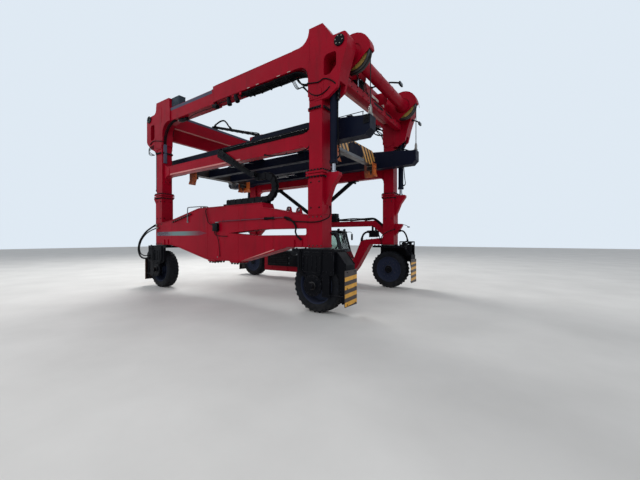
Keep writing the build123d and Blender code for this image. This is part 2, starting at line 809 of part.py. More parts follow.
# Orange corner guides that steer the spreader over a container
guide_top = spreader_bottom + 100
guide_knee = spreader_bottom - 200
guide_bottom = spreader_bottom - 320
guide_flare = 45
guide_plate = 24
guide_x = (end_beam_x[0] - 180, end_beam_x[1] + 1)
with BuildPart() as corner_guides:
    for name, sx, sy in corners:
        side_rows = [
            # y, z, corner radius
            (sy * end_beam_half, guide_top, 0),
            (sy * end_beam_half, guide_knee, 0),
            (sy * (end_beam_half + guide_flare), guide_bottom, 0),
            (sy * (end_beam_half + guide_flare + guide_plate), guide_bottom, 0),
            (sy * (end_beam_half + guide_plate), guide_knee + 10, 0),
            (sy * (end_beam_half + guide_plate), guide_top, 0),
        ]
        slab_along_x(side_rows, sx * guide_x[0], sx * (guide_x[1] + guide_plate))
        end_rows = [
            # x, z, corner radius
            (sx * end_beam_x[1], guide_top, 0),
            (sx * end_beam_x[1], guide_knee, 0),
            (sx * (end_beam_x[1] + guide_flare), guide_bottom, 0),
            (sx * (end_beam_x[1] + guide_flare + guide_plate), guide_bottom, 0),
            (sx * (end_beam_x[1] + guide_plate), guide_knee + 10, 0),
            (sx * (end_beam_x[1] + guide_plate), guide_top, 0),
        ]
        slab_along_y(end_rows, sy * (end_beam_half + guide_plate), sy * (end_beam_half - 230))
save(corner_guides, "corner_guides")

# Hose arm on the right lifting beam
arm_bar_rows = [
    # x, z, corner radius
    (640, lift_beam_top, 0),
    (760, lift_beam_top, 0),
    (760, lift_beam_top + 120, 0),
    (620, lift_beam_top + 160, 0),
    (-1160, lift_beam_top + 710, 0),
    (-1180, lift_beam_top + 665, 0),
    (640, lift_beam_top + 99, 0),
]
with BuildPart() as hose_arm:
    slab_along_y(arm_bar_rows, *centred(-lift_beam_y, 60))
    block((-1180, -1130), centred(-lift_beam_y, 180), (lift_beam_top + 650, lift_beam_top + 700))
save(hose_arm, "hose_arm")

# Power pack on the drop frame: engine house with louvres and an exhaust
pack_x = (-2200, 150)
pack_y = (1850, 2440)
pack_top = 1120
with BuildPart() as power_pack:
    pack_rows = [
        # x, z, corner radius
        (pack_x[0], rail_top, 0),
        (pack_x[1], rail_top, 0),
        (pack_x[1], 960, 40),
        (-900, 960, 0),
        (-960, pack_top, 60),
        (pack_x[0], pack_top, 60),
    ]
    slab_along_y(pack_rows, *pack_y)
    for row in range(6):
        louvre_z = 600 + row * 75
        for face_y in (pack_y[0], pack_y[1] - 25):
            block((-2080, -1120), (face_y, face_y + 25), (louvre_z, louvre_z + 35), Mode.SUBTRACT)
    faceted_bar((-1200, 2350, 1000), (-1200, 2350, 1500), 45, rod_sides)
save(power_pack, "power_pack")

# Operator cab: hollow shell with cut windows, slanted front, hinged outboard door
cab_y = (1780, 2470)
cab_wall = 40
cab_rear_x = 450
cab_roof_z = 1900
cab_rows = [
    # x, z, corner radius
    (cab_rear_x, rail_top, 0),
    (1560, rail_top, 60),
    (1640, 900, 80),
    (1500, 1180, 0),
    (1300, cab_roof_z, 60),
    (cab_rear_x, cab_roof_z, 60),
]
cab_inner_rows = [
    # x, z, corner radius
    (cab_rear_x + cab_wall, rail_top + cab_wall, 0),
    (1530, rail_top + cab_wall, 40),
    (1598, 895, 60),
    (1458, 1175, 0),
    (1269, cab_roof_z - cab_wall, 30),
    (cab_rear_x + cab_wall, cab_roof_z - cab_wall, 30),
]
front_glass_plane = Plane(origin=(1400, (cab_y[0] + cab_y[1]) / 2, 1540), x_dir=(0, 1, 0),
                          z_dir=(0.9635, 0, 0.2676))
front_glass_size = (590, 640)
side_window_rows = [
    # x, z, corner radius
    (520, 1150, 40),
    (1395, 1150, 40),
    (1215, 1820, 40),
    (520, 1820, 40),
]
rear_window_z = (1250, 1780)
rear_window_y = (1880, 2370)
door_x = (530, 1150)
door_z = (600, 1820)
door_gap = 5
hinge_x = 518
hinge_out = 15.5
hinge_y = cab_y[1] + hinge_out
hinge_pin_radius = 8
hinge_knuckle_radius = 14
hinge_heights = (760, 1600)
knuckle_height = 80
with BuildPart() as cab_shell:
    slab_along_y(cab_rows, *cab_y)
    slab_along_y(cab_inner_rows, cab_y[0] + cab_wall, cab_y[1] - cab_wall, Mode.SUBTRACT)
    slab_along_y(side_window_rows, cab_y[0], cab_y[0] + cab_wall, Mode.SUBTRACT)
    for row in range(5):
        louvre_z = 620 + row * 50
        block((1150, 1450), (cab_y[0], cab_y[0] + 15), (louvre_z, louvre_z + 22), Mode.SUBTRACT)
    block((cab_rear_x, cab_rear_x + cab_wall), rear_window_y, rear_window_z, Mode.SUBTRACT)
    block((door_x[0] - door_gap, door_x[1] + door_gap), (cab_y[1] - cab_wall, cab_y[1]),
          (door_z[0] - door_gap, door_z[1] + door_gap), Mode.SUBTRACT)
    with BuildSketch(front_glass_plane):
        Rectangle(*front_glass_size)
    extrude(amount=70, both=True, mode=Mode.SUBTRACT)
    for z in hinge_heights:
        for lug_z in (z - 15, z + knuckle_height):
            block((hinge_x - 40, hinge_x + 5), (cab_y[1], hinge_y + hinge_knuckle_radius),
                  (lug_z, lug_z + 15))
        faceted_bar((hinge_x, hinge_y, z - 10), (hinge_x, hinge_y, z + knuckle_height + 10),
                    hinge_pin_radius, rod_sides)
save(cab_shell, "cab_shell")

with BuildPart() as cab_door:
    block(door_x, (cab_y[1] - cab_wall, cab_y[1]), door_z)
    block((door_x[0] + 60, door_x[1] - 60), (cab_y[1] - cab_wall, cab_y[1]),
          (1200, door_z[1] - 60), Mode.SUBTRACT)
    for z in hinge_heights:
        low, high = z + 1, z + knuckle_height - 1
        faceted_bar((hinge_x, hinge_y, low), (hinge_x, hinge_y, high), hinge_knuckle_radius,
                    rod_sides)
        block((hinge_x, door_x[0] + 30), (hinge_y - 5, hinge_y + 5), (low, high))
        block((door_x[0], door_x[0] + 30), (cab_y[1], hinge_y + 5), (low, high))
        faceted_hole((hinge_x, hinge_y, low), (hinge_x, hinge_y, high),
                     hinge_pin_radius + run_clearance, rod_sides)
save(cab_door, "cab_door")

glass_half = 4
with BuildPart() as cab_glass:
    slab_along_y(side_window_rows, *centred(cab_y[0] + cab_wall / 2, 2 * glass_half))
    block(centred(cab_rear_x + cab_wall / 2, 2 * glass_half), rear_window_y, rear_window_z)
    with BuildSketch(front_glass_plane.offset(-cab_wall / 2)):
        Rectangle(*front_glass_size)
    extrude(amount=glass_half, both=True)
save(cab_glass, "cab_glass")

with BuildPart() as door_glass:
    block((door_x[0] + 60, door_x[1] - 60), centred(cab_y[1] - cab_wall / 2, 2 * glass_half),
          (1200, door_z[1] - 60))
save(door_glass, "door_glass")

with BuildPart() as cab_seat:
    floor_z = rail_top + cab_wall
    seat_y = centred((cab_y[0] + cab_y[1]) / 2, 440)
    block((620, 900), centred((cab_y[0] + cab_y[1]) / 2, 300), (floor_z, 760))
    seat_rows = [
        # x, z, corner radius
        (560, 760, 0),
        (1080, 760, 30),
        (1080, 860, 40),
        (700, 860, 40),
        (620, 1440, 40),
        (520, 1440, 30),
    ]
    slab_along_y(seat_rows, *seat_y)
save(cab_seat, "cab_seat")

# Wheel unit pieces, drawn once about the wheel centre with outboard towards +Y
lug_count = wheel_sides // 2
lug_length = 84
lug_height = 26
shoulder = 32
tyre_body_radius = tyre_radius - lug_height
side_y = tyre_width / 2 - 6
with BuildPart() as tyre_form:
    faceted_bar((0, -side_y, 0), (0, side_y, 0), tyre_body_radius, wheel_sides, turn=wheel_turn)
    rim_edges = tyre_form.edges().filter_by(
        lambda edge: abs(abs(edge.center().Y) - side_y) < 1
    )
    chamfer(rim_edges, shoulder)
    faceted_bar((0, -side_y, 0), (0, side_y, 0), rim_radius, wheel_sides, Mode.SUBTRACT,
                wheel_turn)
    for side, start in ((1, 0), (-1, 180 / lug_count)):
        lug_middle = side * (tyre_width / 4 + 4)
        with Locations(Plane(origin=(0, lug_middle, 0), x_dir=(1, 0, 0), z_dir=(0, 1, 0))):
            with PolarLocations(tyre_radius - 35, lug_count, start_angle=start):
                Box(70, lug_length, tyre_width / 2 - 8)

rim_half = 150
dish_y = -110
hub_radius = 145
axle_radius = 70
with BuildPart() as wheel_form:
    faceted_bar((0, -rim_half, 0), (0, rim_half, 0), rim_radius - seat_gap, wheel_sides,
                turn=wheel_turn)
    faceted_bar((0, dish_y, 0), (0, rim_half, 0), rim_radius - 30, wheel_sides, Mode.SUBTRACT,
                wheel_turn)
    faceted_bar((0, dish_y, 0), (0, rim_half, 0), hub_radius, shaft_sides)
    faceted_bar((0, -rim_half - 22, 0), (0, -rim_half, 0), hub_radius - 25, shaft_sides)
    faceted_hole((0, -100, 0), (0, rim_half, 0), axle_radius + run_clearance, shaft_sides)

plate_in = 195
plate_out = 270
cap_out = 300
nose_out = 399.5
nose_radius = 75
hub_disc_radius = 230
yoke_x = (-560, 530)
strut_x = (235, 415)
side_plate_rows = [
    # distance outward along X, z, corner radius
    (-430, 1335, 0),
    (-430, 860, 60),
    (-200, 800, 60),
    (-200, 560, 60),
    (-120, 430, 40),
    (120, 430, 40),
    (200, 560, 60),
    (200, 800, 0),
    (strut_x[0], 800, 0),
    (strut_x[0], 390, 0),
    (strut_x[1], 390, 0),
    (strut_x[1], 860, 0),
    (yoke_x[1], 860, 40),
    (yoke_x[1], 1335, 0),
]
panel_x = (-260, 180)
panel_z = (900, 1260)
panel_depth = 12
board_out = (775, 790)
board_half = 255
board_z = (225, 970)
guard_rows = [
    # distance outward along X, z, corner radius
    (500, 1340, 0),
    (560, 1340, 0),
    (board_out[0], 1075, 0),
    (board_out[0], board_z[1] - 30, 0),
    (board_out[0] - 25, board_z[1] - 30, 0),
    (board_out[0] - 25, 1060, 0),
]
stay_z = 440
plate_top = slew_top - ring_thickness - 5
for name, sx, sy in corners:
    turn = 0 if sy > 0 else 180
    x_mid, y_mid = sx * leg_x, sy * leg_y

    with BuildPart() as tyre:
        with Locations(Location((x_mid, y_mid, tyre_radius), (0, 0, turn))):
            add(tyre_form.part)
    save(tyre, f"tyre_{name}")

    with BuildPart() as wheel:
        with Locations(Location((x_mid, y_mid, tyre_radius), (0, 0, turn))):
            add(wheel_form.part)
    save(wheel, f"wheel_{name}")

    with BuildPart() as yoke:
        rows = [(x_mid + sx * u, z, radius) for u, z, radius in side_plate_rows]
        slab_along_y(rows, y_mid + sy * plate_in, y_mid + sy * plate_out)
        block([x_mid + sx * u for u in panel_x],
              (y_mid + sy * (plate_out - panel_depth), y_mid + sy * plate_out), panel_z,
              Mode.SUBTRACT)
        block([x_mid + sx * u for u in yoke_x], (y_mid - sy * 200, y_mid + sy * plate_out),
              (plate_top - 65, plate_top))
        faceted_bar((x_mid, y_mid, plate_top - 10), (x_mid, y_mid, slew_top - 5), kingpin_radius,
                    shaft_sides)
        faceted_bar((x_mid, y_mid, plate_top - 10), (x_mid, y_mid, plate_top + 4.7),
                    kingpin_radius + 60, shaft_sides)
        faceted_bar((x_mid, y_mid + sy * plate_in, tyre_radius),
                    (x_mid, y_mid - sy * 95, tyre_radius), axle_radius, shaft_sides)
        faceted_bar((x_mid, y_mid + sy * plate_out, tyre_radius),
                    (x_mid, y_mid + sy * cap_out, tyre_radius), hub_disc_radius, drum_sides)
        faceted_bar((x_mid, y_mid + sy * cap_out, tyre_radius),
                    (x_mid, y_mid + sy * nose_out, tyre_radius), nose_radius, shaft_sides)
        rows = [(x_mid + sx * u, z, radius) for u, z, radius in guard_rows]
        slab_along_y(rows, y_mid - 190, y_mid + 190)
        stay_y = y_mid + sy * (plate_in + plate_out) / 2
        faceted_bar((x_mid + sx * (strut_x[1] - 15), stay_y, stay_z),
                    (x_mid + sx * board_out[0], stay_y, stay_z), 12, rope_sides)
    save(yoke, f"yoke_{name}")

    with BuildPart() as board:
        block((x_mid + sx * board_out[0], x_mid + sx * board_out[1]),
              (y_mid - board_half, y_mid + board_half), board_z)
    save(board, f"hazard_board_{name}")
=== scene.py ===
"""Looks of the mobile straddle carrier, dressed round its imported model.

Metres, +Z up, front is +X and left is +Y, the same frame as the model.
"""

import math
import random

import bmesh
import bpy
from mathutils import Matrix, Vector


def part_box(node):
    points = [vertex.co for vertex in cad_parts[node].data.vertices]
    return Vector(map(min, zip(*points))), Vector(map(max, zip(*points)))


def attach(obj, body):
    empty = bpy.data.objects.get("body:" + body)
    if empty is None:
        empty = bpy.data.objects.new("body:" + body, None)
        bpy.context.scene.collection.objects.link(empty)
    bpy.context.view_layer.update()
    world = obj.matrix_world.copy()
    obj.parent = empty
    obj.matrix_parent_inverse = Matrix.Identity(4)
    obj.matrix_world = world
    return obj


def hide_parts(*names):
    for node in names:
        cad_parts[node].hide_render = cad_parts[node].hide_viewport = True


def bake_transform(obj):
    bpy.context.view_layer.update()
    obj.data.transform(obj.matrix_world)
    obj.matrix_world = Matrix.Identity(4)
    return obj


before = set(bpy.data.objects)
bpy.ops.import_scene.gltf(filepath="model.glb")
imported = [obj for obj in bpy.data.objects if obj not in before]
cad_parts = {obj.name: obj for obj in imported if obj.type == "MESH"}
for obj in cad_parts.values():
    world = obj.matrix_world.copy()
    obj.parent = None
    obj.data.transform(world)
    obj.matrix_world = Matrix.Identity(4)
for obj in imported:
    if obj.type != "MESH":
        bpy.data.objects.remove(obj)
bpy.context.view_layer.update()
scene = bpy.context.scene
dice = random.Random(7)

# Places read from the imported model
tyre_low, tyre_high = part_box("tyre_front_right")
TYRE_RADIUS = (tyre_high.z - tyre_low.z) / 2
LEG_X = (tyre_low.x + tyre_high.x) / 2
LEG_Y = -(tyre_low.y + tyre_high.y) / 2
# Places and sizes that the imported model's parts were drawn with
HOIST_X = 3.8
HOIST_Z = 5.72
ROPE_Y = 1.62
ROPE_X = 4.19
HEAD_HALF = 0.18
SLEEVE_HALF = 0.188
CYLINDER_OFFSET = 0.36
FLANGE_TOP = 3.100
FLANGE_UNDERSIDE = 2.990
TOP_BEAM_HALF = 0.170
REAR_BEAM_HALF = 0.150
MID_BEAM_HALF = 0.1
LIFT_BEAM_Y = 1.6
LOCK_X = 5.853 / 2
LOCK_Y = 2.259 / 2

# corner name, sign along X, sign along Y
CORNERS = [
    ("front_right", 1, -1),
    ("rear_right", -1, -1),
    ("front_left", 1, 1),
    ("rear_left", -1, 1),
]


# Camera, at the photograph's viewing angle
PHOTO_WIDTH = 640
FOCAL_PIXELS = 307.725
EYE = Vector((7.049, -7.767, 1.62))
LOOK = Vector((-0.5626, 0.8267, -0.0038))


def make_camera():
    data = bpy.data.cameras.new("camera")
    data.sensor_width = 36.0
    data.lens = FOCAL_PIXELS / PHOTO_WIDTH * data.sensor_width
    data.clip_end = 400
    camera = bpy.data.objects.new("camera", data)
    camera.location = EYE
    camera.rotation_mode = "QUATERNION"
    camera.rotation_quaternion = LOOK.to_track_quat("-Z", "Y")
    scene.collection.objects.link(camera)
    scene.camera = camera


def make_light():
    """Soft studio light: a pale surround, a key lamp high behind on the left and a fill lamp in front."""
    world = bpy.data.worlds.new("surround")
    scene.world = world
    world.use_nodes = True
    nodes, links = world.node_tree.nodes, world.node_tree.links
    nodes.clear()
    out = nodes.new("ShaderNodeOutputWorld")
    light = nodes.new("ShaderNodeBackground")
    light.inputs["Color"].default_value = (0.88, 0.93, 1.0, 1)
    light.inputs["Strength"].default_value = 0.55
    seen = nodes.new("ShaderNodeBackground")
    seen.inputs["Color"].default_value = (0.74, 0.82, 0.9, 1)
    seen.inputs["Strength"].default_value = 1.0
    path = nodes.new("ShaderNodeLightPath")
    either = path.outputs["Is Camera Ray"]
    for ray in ("Is Glossy Ray", "Is Transmission Ray"):
        more = nodes.new("ShaderNodeMath")
        more.operation = "MAXIMUM"
        links.new(either, more.inputs[0])
        links.new(path.outputs[ray], more.inputs[1])
        either = more.outputs[0]
    mix = nodes.new("ShaderNodeMixShader")
    links.new(either, mix.inputs["Fac"])
    links.new(light.outputs[0], mix.inputs[1])
    links.new(seen.outputs[0], mix.inputs[2])
    links.new(mix.outputs[0], out.inputs["Surface"])

    # name, place, aim, size, watts
    lamps = [
        ("key", (-10, 6, 17), (0, 0, 3), 8, 2900),
        ("fill", (16, -20, 14), (0, 0, 2.5), 24, 1900),
        ("side_fill", (-12, -22, 12), (0, 0, 2.5), 24, 900),
    ]
    for name, place, aim, size, watts in lamps:
        data = bpy.data.lights.new(name, "AREA")
        data.size = size
        data.energy = watts
        lamp = bpy.data.objects.new(name, data)
        lamp.location = place
        lamp.rotation_mode = "QUATERNION"
        lamp.rotation_quaternion = (Vector(aim) - Vector(place)).to_track_quat("-Z", "Y")
        scene.collection.objects.link(lamp)


def shade_of(red, green, blue):
    """A colour written as 0 to 255 values, as the linear colour that shaders use."""
    def linear(value):
        value /= 255
        return value / 12.92 if value <= 0.04045 else ((value + 0.055) / 1.055) ** 2.4
    return (linear(red), linear(green), linear(blue), 1.0)


class Finish:
    """One procedural material; each method adds nodes and returns the socket to use next."""

    def __init__(self, name, colour, roughness, **sockets):
        self.material = bpy.data.materials.new(name)
        self.material.use_nodes = True
        self.nodes = self.material.node_tree.nodes
        self.links = self.material.node_tree.links
        self.shader = self.nodes["Principled BSDF"]
        self.colour = colour
        self.rough = roughness
        self.shader.inputs["Base Color"].default_value = colour
        self.shader.inputs["Roughness"].default_value = roughness
        for socket, value in sockets.items():
            self.shader.inputs[socket.replace("_", " ")].default_value = value
        self.place = self.nodes.new("ShaderNodeTexCoord").outputs["Object"]
        self.material.diffuse_color = colour

    def put(self, node, socket, value):
        if isinstance(value, bpy.types.NodeSocket):
            self.links.new(value, node.inputs[socket])
        else:
            node.inputs[socket].default_value = value

    def maths(self, operation, a, b=0.0, clamp=False):
        node = self.nodes.new("ShaderNodeMath")
        node.operation = operation
        node.use_clamp = clamp
        self.put(node, 0, a)
        self.put(node, 1, b)
        return node.outputs[0]

    def split(self, vector=None):
        node = self.nodes.new("ShaderNodeSeparateXYZ")
        self.links.new(self.place if vector is None else vector, node.inputs[0])
        return node.outputs

    def stretched(self, scale):
        node = self.nodes.new("ShaderNodeMapping")
        self.links.new(self.place, node.inputs["Vector"])
        node.inputs["Scale"].default_value = scale
        return node.outputs["Vector"]

    def noise(self, scale, detail=4.0, stretch=None, rough=0.55):
        node = self.nodes.new("ShaderNodeTexNoise")
        self.links.new(self.stretched(stretch) if stretch else self.place, node.inputs["Vector"])
        node.inputs["Scale"].default_value = scale
        node.inputs["Detail"].default_value = detail
        node.inputs["Roughness"].default_value = rough
        return node.outputs["Fac"]

    def ramp(self, value, low, high, to_low=0.0, to_high=1.0):
        node = self.nodes.new("ShaderNodeMapRange")
        self.put(node, "Value", value)
        node.inputs["From Min"].default_value = low
        node.inputs["From Max"].default_value = high
        node.inputs["To Min"].default_value = to_low
        node.inputs["To Max"].default_value = to_high
        return node.outputs["Result"]

    def mix(self, factor, a, b):
        node = self.nodes.new("ShaderNodeMix")
        node.data_type = "RGBA"
        self.put(node, "Factor", factor)
        for index, value in ((6, a), (7, b)):
            if isinstance(value, bpy.types.NodeSocket):
                self.links.new(value, node.inputs[index])
            else:
                node.inputs[index].default_value = value
        return node.outputs[2]

    def facing_up(self):
        node = self.nodes.new("ShaderNodeNewGeometry")
        return self.ramp(self.split(node.outputs["Normal"])[2], 0.35, 0.95)

    def edges(self, radius):
        """Near 1 along outer and inner corners within the radius, 0 on flat surfaces."""
        bevel = self.nodes.new("ShaderNodeBevel")
        bevel.samples = 3
        bevel.inputs["Radius"].default_value = radius
        flat = self.nodes.new("ShaderNodeNewGeometry")
        dot = self.nodes.new("ShaderNodeVectorMath")
        dot.operation = "DOT_PRODUCT"
        self.links.new(bevel.outputs[0], dot.inputs[0])
        self.links.new(flat.outputs["Normal"], dot.inputs[1])
        return self.ramp(dot.outputs["Value"], 0.985, 0.86)

    def cloudy(self, scale, detail, low, high, dark, light):
        """The finish's colour, or two colours, mixed by soft noise."""
        if not isinstance(dark, tuple):
            dark, light = tone(self.colour, dark), tone(self.colour, light)
        return self.mix(self.ramp(self.noise(scale, detail), low, high), dark, light)

    def grain(self, scale, detail, strength, distance):
        self.bump(self.noise(scale, detail), strength, distance)

    def bump(self, height, strength, distance):
        node = self.nodes.new("ShaderNodeBump")
        self.put(node, "Height", height)
        node.inputs["Strength"].default_value = strength
        node.inputs["Distance"].default_value = distance
        self.links.new(node.outputs[0], self.shader.inputs["Normal"])

    def use_colour(self, socket):
        self.links.new(socket, self.shader.inputs["Base Color"])
        return socket

    def use_rough(self, socket):
        self.links.new(socket, self.shader.inputs["Roughness"])


def tone(colour, factor):
    return tuple(min(1.0, c * factor) for c in colour[:3]) + (1.0,)


DUST = shade_of(158, 148, 136)
GRIME = shade_of(30, 24, 26)


def weather(finish, base, dust=0.25, streaks=0.3, wear=None, wear_colour=None, wear_radius=0.012):
    """Sun-faded patches, run-off streaks, dust on what faces up and wear along the edges."""
    colour = finish.cloudy(0.9, 3.0, 0.3, 0.72, 0.84, 1.14) if base is None else base
    run = finish.noise(2.4, 4.0, stretch=(3.2, 3.2, 0.35))
    colour = finish.mix(finish.ramp(run, 0.56, 0.78, 0.0, streaks), colour, GRIME)
    if wear:
        rim = finish.edges(wear_radius)
        chips = finish.ramp(finish.noise(34, 3.0), 0.5, 0.62)
        rim = finish.maths("MULTIPLY", finish.maths("MULTIPLY", rim, chips), wear)
        colour = finish.mix(rim, colour, wear_colour or GRIME)
    patch = finish.ramp(finish.noise(3.1, 5.0), 0.38, 0.7, 0.25, 1.0)
    film = finish.maths("MULTIPLY", finish.maths("MULTIPLY", finish.facing_up(), patch), dust)
    finish.use_colour(finish.mix(film, colour, DUST))
    finish.use_rough(finish.ramp(finish.noise(5.5, 4.0), 0.3, 0.75, finish.rough * 0.8, finish.rough * 1.3))


def red_paint():
    finish = Finish("red_paint", shade_of(144, 5, 30), 0.36, Specular_IOR_Level=0.07)
    weather(finish, None, dust=0.1, streaks=0.3, wear=0.75, wear_colour=shade_of(84, 18, 24))
    finish.grain(46, 3.0, 0.12, 0.002)
    return finish.material


def cab_paint():
    """Red body below the window sill, dark grey pillars and roof above it."""
    finish = Finish("cab_paint", shade_of(144, 5, 30), 0.36, Specular_IOR_Level=0.07)
    above = finish.maths("GREATER_THAN", finish.split()[2], 1.165)
    weather(finish, finish.mix(above, finish.colour, shade_of(52, 58, 62)), dust=0.18, streaks=0.25)
    finish.grain(46, 3.0, 0.12, 0.002)
    return finish.material


def dark_paint(name="dark_paint", colour=(17, 21, 36), rough=0.46, dust=0.2):
    finish = Finish(name, shade_of(*colour), rough, Specular_IOR_Level=0.06)
    weather(finish, None, dust=dust, streaks=0.12, wear=0.6, wear_colour=shade_of(92, 92, 98))
    finish.grain(60, 3.0, 0.15, 0.0015)
    return finish.material


def grey_paint():
    finish = Finish("grey_paint", shade_of(104, 108, 112), 0.45)
    weather(finish, None, dust=0.3, streaks=0.35, wear=0.7, wear_colour=shade_of(70, 66, 62))
    finish.grain(52, 3.0, 0.1, 0.0015)
    return finish.material


def orange_paint():
    """Guide plates: orange paint scraped to rust by container corners."""
    finish = Finish("orange_paint", shade_of(196, 96, 34), 0.55)
    rust = finish.cloudy(9, 6.0, 0.35, 0.7, shade_of(96, 44, 26), shade_of(140, 72, 40))
    scrape = finish.ramp(finish.noise(5.0, 5.0, stretch=(1.0, 1.0, 0.3)), 0.42, 0.6)
    weather(finish, finish.mix(scrape, finish.colour, rust), dust=0.2, streaks=0.3)
    finish.grain(30, 6.0, 0.35, 0.003)
    return finish.material


def bare_metal(name, colour, rough, bump_scale=70, metallic=1.0):
    finish = Finish(name, shade_of(*colour), rough, Metallic=metallic)
    finish.use_colour(finish.cloudy(7, 4.0, 0.3, 0.75, 0.72, 1.08))
    finish.use_rough(finish.ramp(finish.noise(14, 3.0), 0.3, 0.7, rough * 0.7, rough * 1.4))
    finish.bump(finish.noise(bump_scale, 3.0), 0.1, 0.001)
    return finish.material


def rubber(name, colour, dust, rough=0.75):
    finish = Finish(name, shade_of(*colour), rough, Specular_IOR_Level=0.07)
    weather(finish, None, dust=dust, streaks=0.05)
    finish.grain(90, 4.0, 0.25, 0.002)
    return finish.material


def tyre_rubber():
    """Black rubber with pale road dust ground into the tread."""
    finish = Finish("tyre_rubber", shade_of(18, 20, 25), 0.8, Specular_IOR_Level=0.12)
    cloud = finish.cloudy(4.5, 5.0, 0.35, 0.7, 0.75, 1.35)
    height = finish.ramp(finish.split()[2], 0.0, 0.30, 1.0, 0.12)
    patch = finish.ramp(finish.noise(12, 5.0), 0.36, 0.68)
    film = finish.maths("MULTIPLY", finish.maths("MULTIPLY", height, patch), 0.3)
    finish.use_colour(finish.mix(film, cloud, shade_of(86, 82, 78)))
    finish.use_rough(finish.ramp(finish.noise(20, 3.0), 0.3, 0.7, 0.66, 0.9))
    finish.grain(70, 5.0, 0.3, 0.003)
    return finish.material


def glass():
    finish = Finish("glass", shade_of(206, 224, 216), 0.04, Transmission_Weight=1.0, IOR=1.45)
    smear = finish.ramp(finish.noise(6, 5.0, stretch=(1, 1, 0.4)), 0.4, 0.75, 0.03, 0.2)
    finish.use_rough(smear)
    finish.use_colour(finish.cloudy(3, 3.0, 0.3, 0.7, finish.colour, tone(finish.colour, 0.8)))
    return finish.material


def striped(name, light, dark, period, slope, lift, across, share=0.5, rough=0.4, top=None, beyond=None):
    """Warning stripes over the upright plane whose level direction is the X or Y axis."""
    finish = Finish(name, light, rough)
    axes = finish.split()
    along = finish.maths("MULTIPLY", axes["xyz".index(across)], math.sin(math.radians(slope)))
    up = finish.maths("MULTIPLY", axes[2], math.cos(math.radians(slope)))
    wave = finish.maths("ADD", finish.maths("SUBTRACT", up, along), lift)
    wave = finish.maths("FRACT", finish.maths("DIVIDE", wave, period))
    band = finish.maths("LESS_THAN", wave, share)
    if top:
        band = finish.maths("MULTIPLY", band, finish.maths("LESS_THAN", axes[2], top))
    if beyond:
        outer = finish.maths("GREATER_THAN", finish.maths("ABSOLUTE", axes[0]), beyond)
        band = finish.maths("MULTIPLY", band, outer)
    faded = finish.cloudy(7, 4.0, 0.3, 0.7, 0.78, 1.05)
    colour = finish.mix(band, dark, faded)
    weather(finish, colour, dust=0.2, streaks=0.35, wear=0.8, wear_colour=shade_of(60, 48, 40),
            wear_radius=0.01)
    finish.grain(55, 3.0, 0.12, 0.0015)
    return finish.material


def band_paint():
    """Faded band on the side beam: dull teal in the middle, worn to the red at both ends."""
    finish = Finish("pale_band", shade_of(104, 128, 128), 0.45, Specular_IOR_Level=0.2)
    along = finish.split()[0]
    spots = finish.ramp(finish.noise(16, 5.0, stretch=(1.0, 1.0, 1.8)), 0.42, 0.60)
    rear = finish.mix(spots, shade_of(66, 44, 58), shade_of(104, 104, 116))
    colour = finish.mix(finish.ramp(along, -2.62, -2.45), rear, finish.colour)
    colour = finish.mix(finish.ramp(along, -1.75, -0.95), colour, shade_of(112, 34, 52))
    weather(finish, colour, dust=0.05, streaks=0.2)
    return finish.material


def wire_rope():
    """Greased steel rope: fine slanting wires under a dark film."""
    finish = Finish("wire_rope", shade_of(34, 26, 27), 0.6, Specular_IOR_Level=0.2)
    axes = finish.split()
    lay = finish.maths("SINE", finish.maths("MULTIPLY", axes[2], 900.0))
    finish.use_colour(finish.cloudy(24, 3.0, 0.35, 0.7, finish.colour, shade_of(24, 18, 20)))
    finish.bump(lay, 0.2, 0.001)
    return finish.material


def vinyl():
    finish = Finish("seat_cover", shade_of(36, 37, 41), 0.55)
    finish.use_colour(finish.cloudy(9, 4.0, 0.3, 0.7, 0.8, 1.25))
    finish.grain(140, 4.0, 0.35, 0.001)
    return finish.material


def floor_finish():
    """Pale floor that still takes the object's shadow."""
    finish = Finish("floor", shade_of(214, 212, 208), 0.85)
    finish.use_colour(finish.cloudy(0.6, 5.0, 0.3, 0.7, shade_of(207, 205, 201), shade_of(219, 217, 213)))
    finish.grain(40, 4.0, 0.15, 0.002)
    return finish.material


RED = red_paint()
DARK = dark_paint(colour=(13, 18, 34), dust=0.12)
BLACK = dark_paint("black_paint", (8, 9, 14), 0.42, 0.06)
WHEEL = dark_paint("wheel_paint", (36, 42, 60), 0.5, 0.06)
GREY = grey_paint()
CAB = cab_paint()
ORANGE = orange_paint()
CHROME = bare_metal("chrome", (140, 144, 152), 0.16)
STEEL = bare_metal("plain_steel", (132, 130, 126), 0.38)
DARK_STEEL = bare_metal("dark_steel", (70, 68, 68), 0.42)
ZINC = bare_metal("zinc_fittings", (176, 172, 160), 0.35)
OCHRE = bare_metal("sheave_paint", (158, 132, 62), 0.5, metallic=0.15)
HOSE = rubber("hose_rubber", (8, 9, 13), 0.04, 0.5)
PLASTIC = rubber("black_plastic", (9, 10, 15), 0.06, 0.45)
# Painted shade: a grey-blue colour for strips that stand in for shade on beam edges and leg faces.
PAINTED_SHADE = dark_paint("painted_shade_grey", (78, 80, 98), 0.5, 0.05)
# Painted highlight: a pale red for strips that stand in for light thrown up from the ground onto lower edges.
PAINTED_HIGHLIGHT = dark_paint("painted_highlight_red", (200, 132, 128), 0.5, 0.05)
BOX = dark_paint("box_paint", (46, 58, 68), 0.4, 0.05)
PIPE = dark_paint("pipe_paint", (100, 50, 62), 0.4, 0.05)
TYRE = tyre_rubber()
GLASS = glass()
ROPE = wire_rope()
VINYL = vinyl()
BOARD = striped("board_stripes", shade_of(222, 160, 40), shade_of(40, 24, 18), 0.170, 3, -0.022, "y", 0.5,
                top=0.87, beyond=3.974)
SPREADER_STRIPES = striped("spreader_stripes", shade_of(222, 166, 92), shade_of(30, 20, 18), 0.172, -54, 0.0,
                           "y", 0.5, beyond=3.022)
PALE_BAND = band_paint()
WHITE = dark_paint("white_plastic", (214, 212, 204), 0.4, 0.2)
LENS = dark_paint("lamp_lens", (96, 104, 110), 0.12, 0.05)
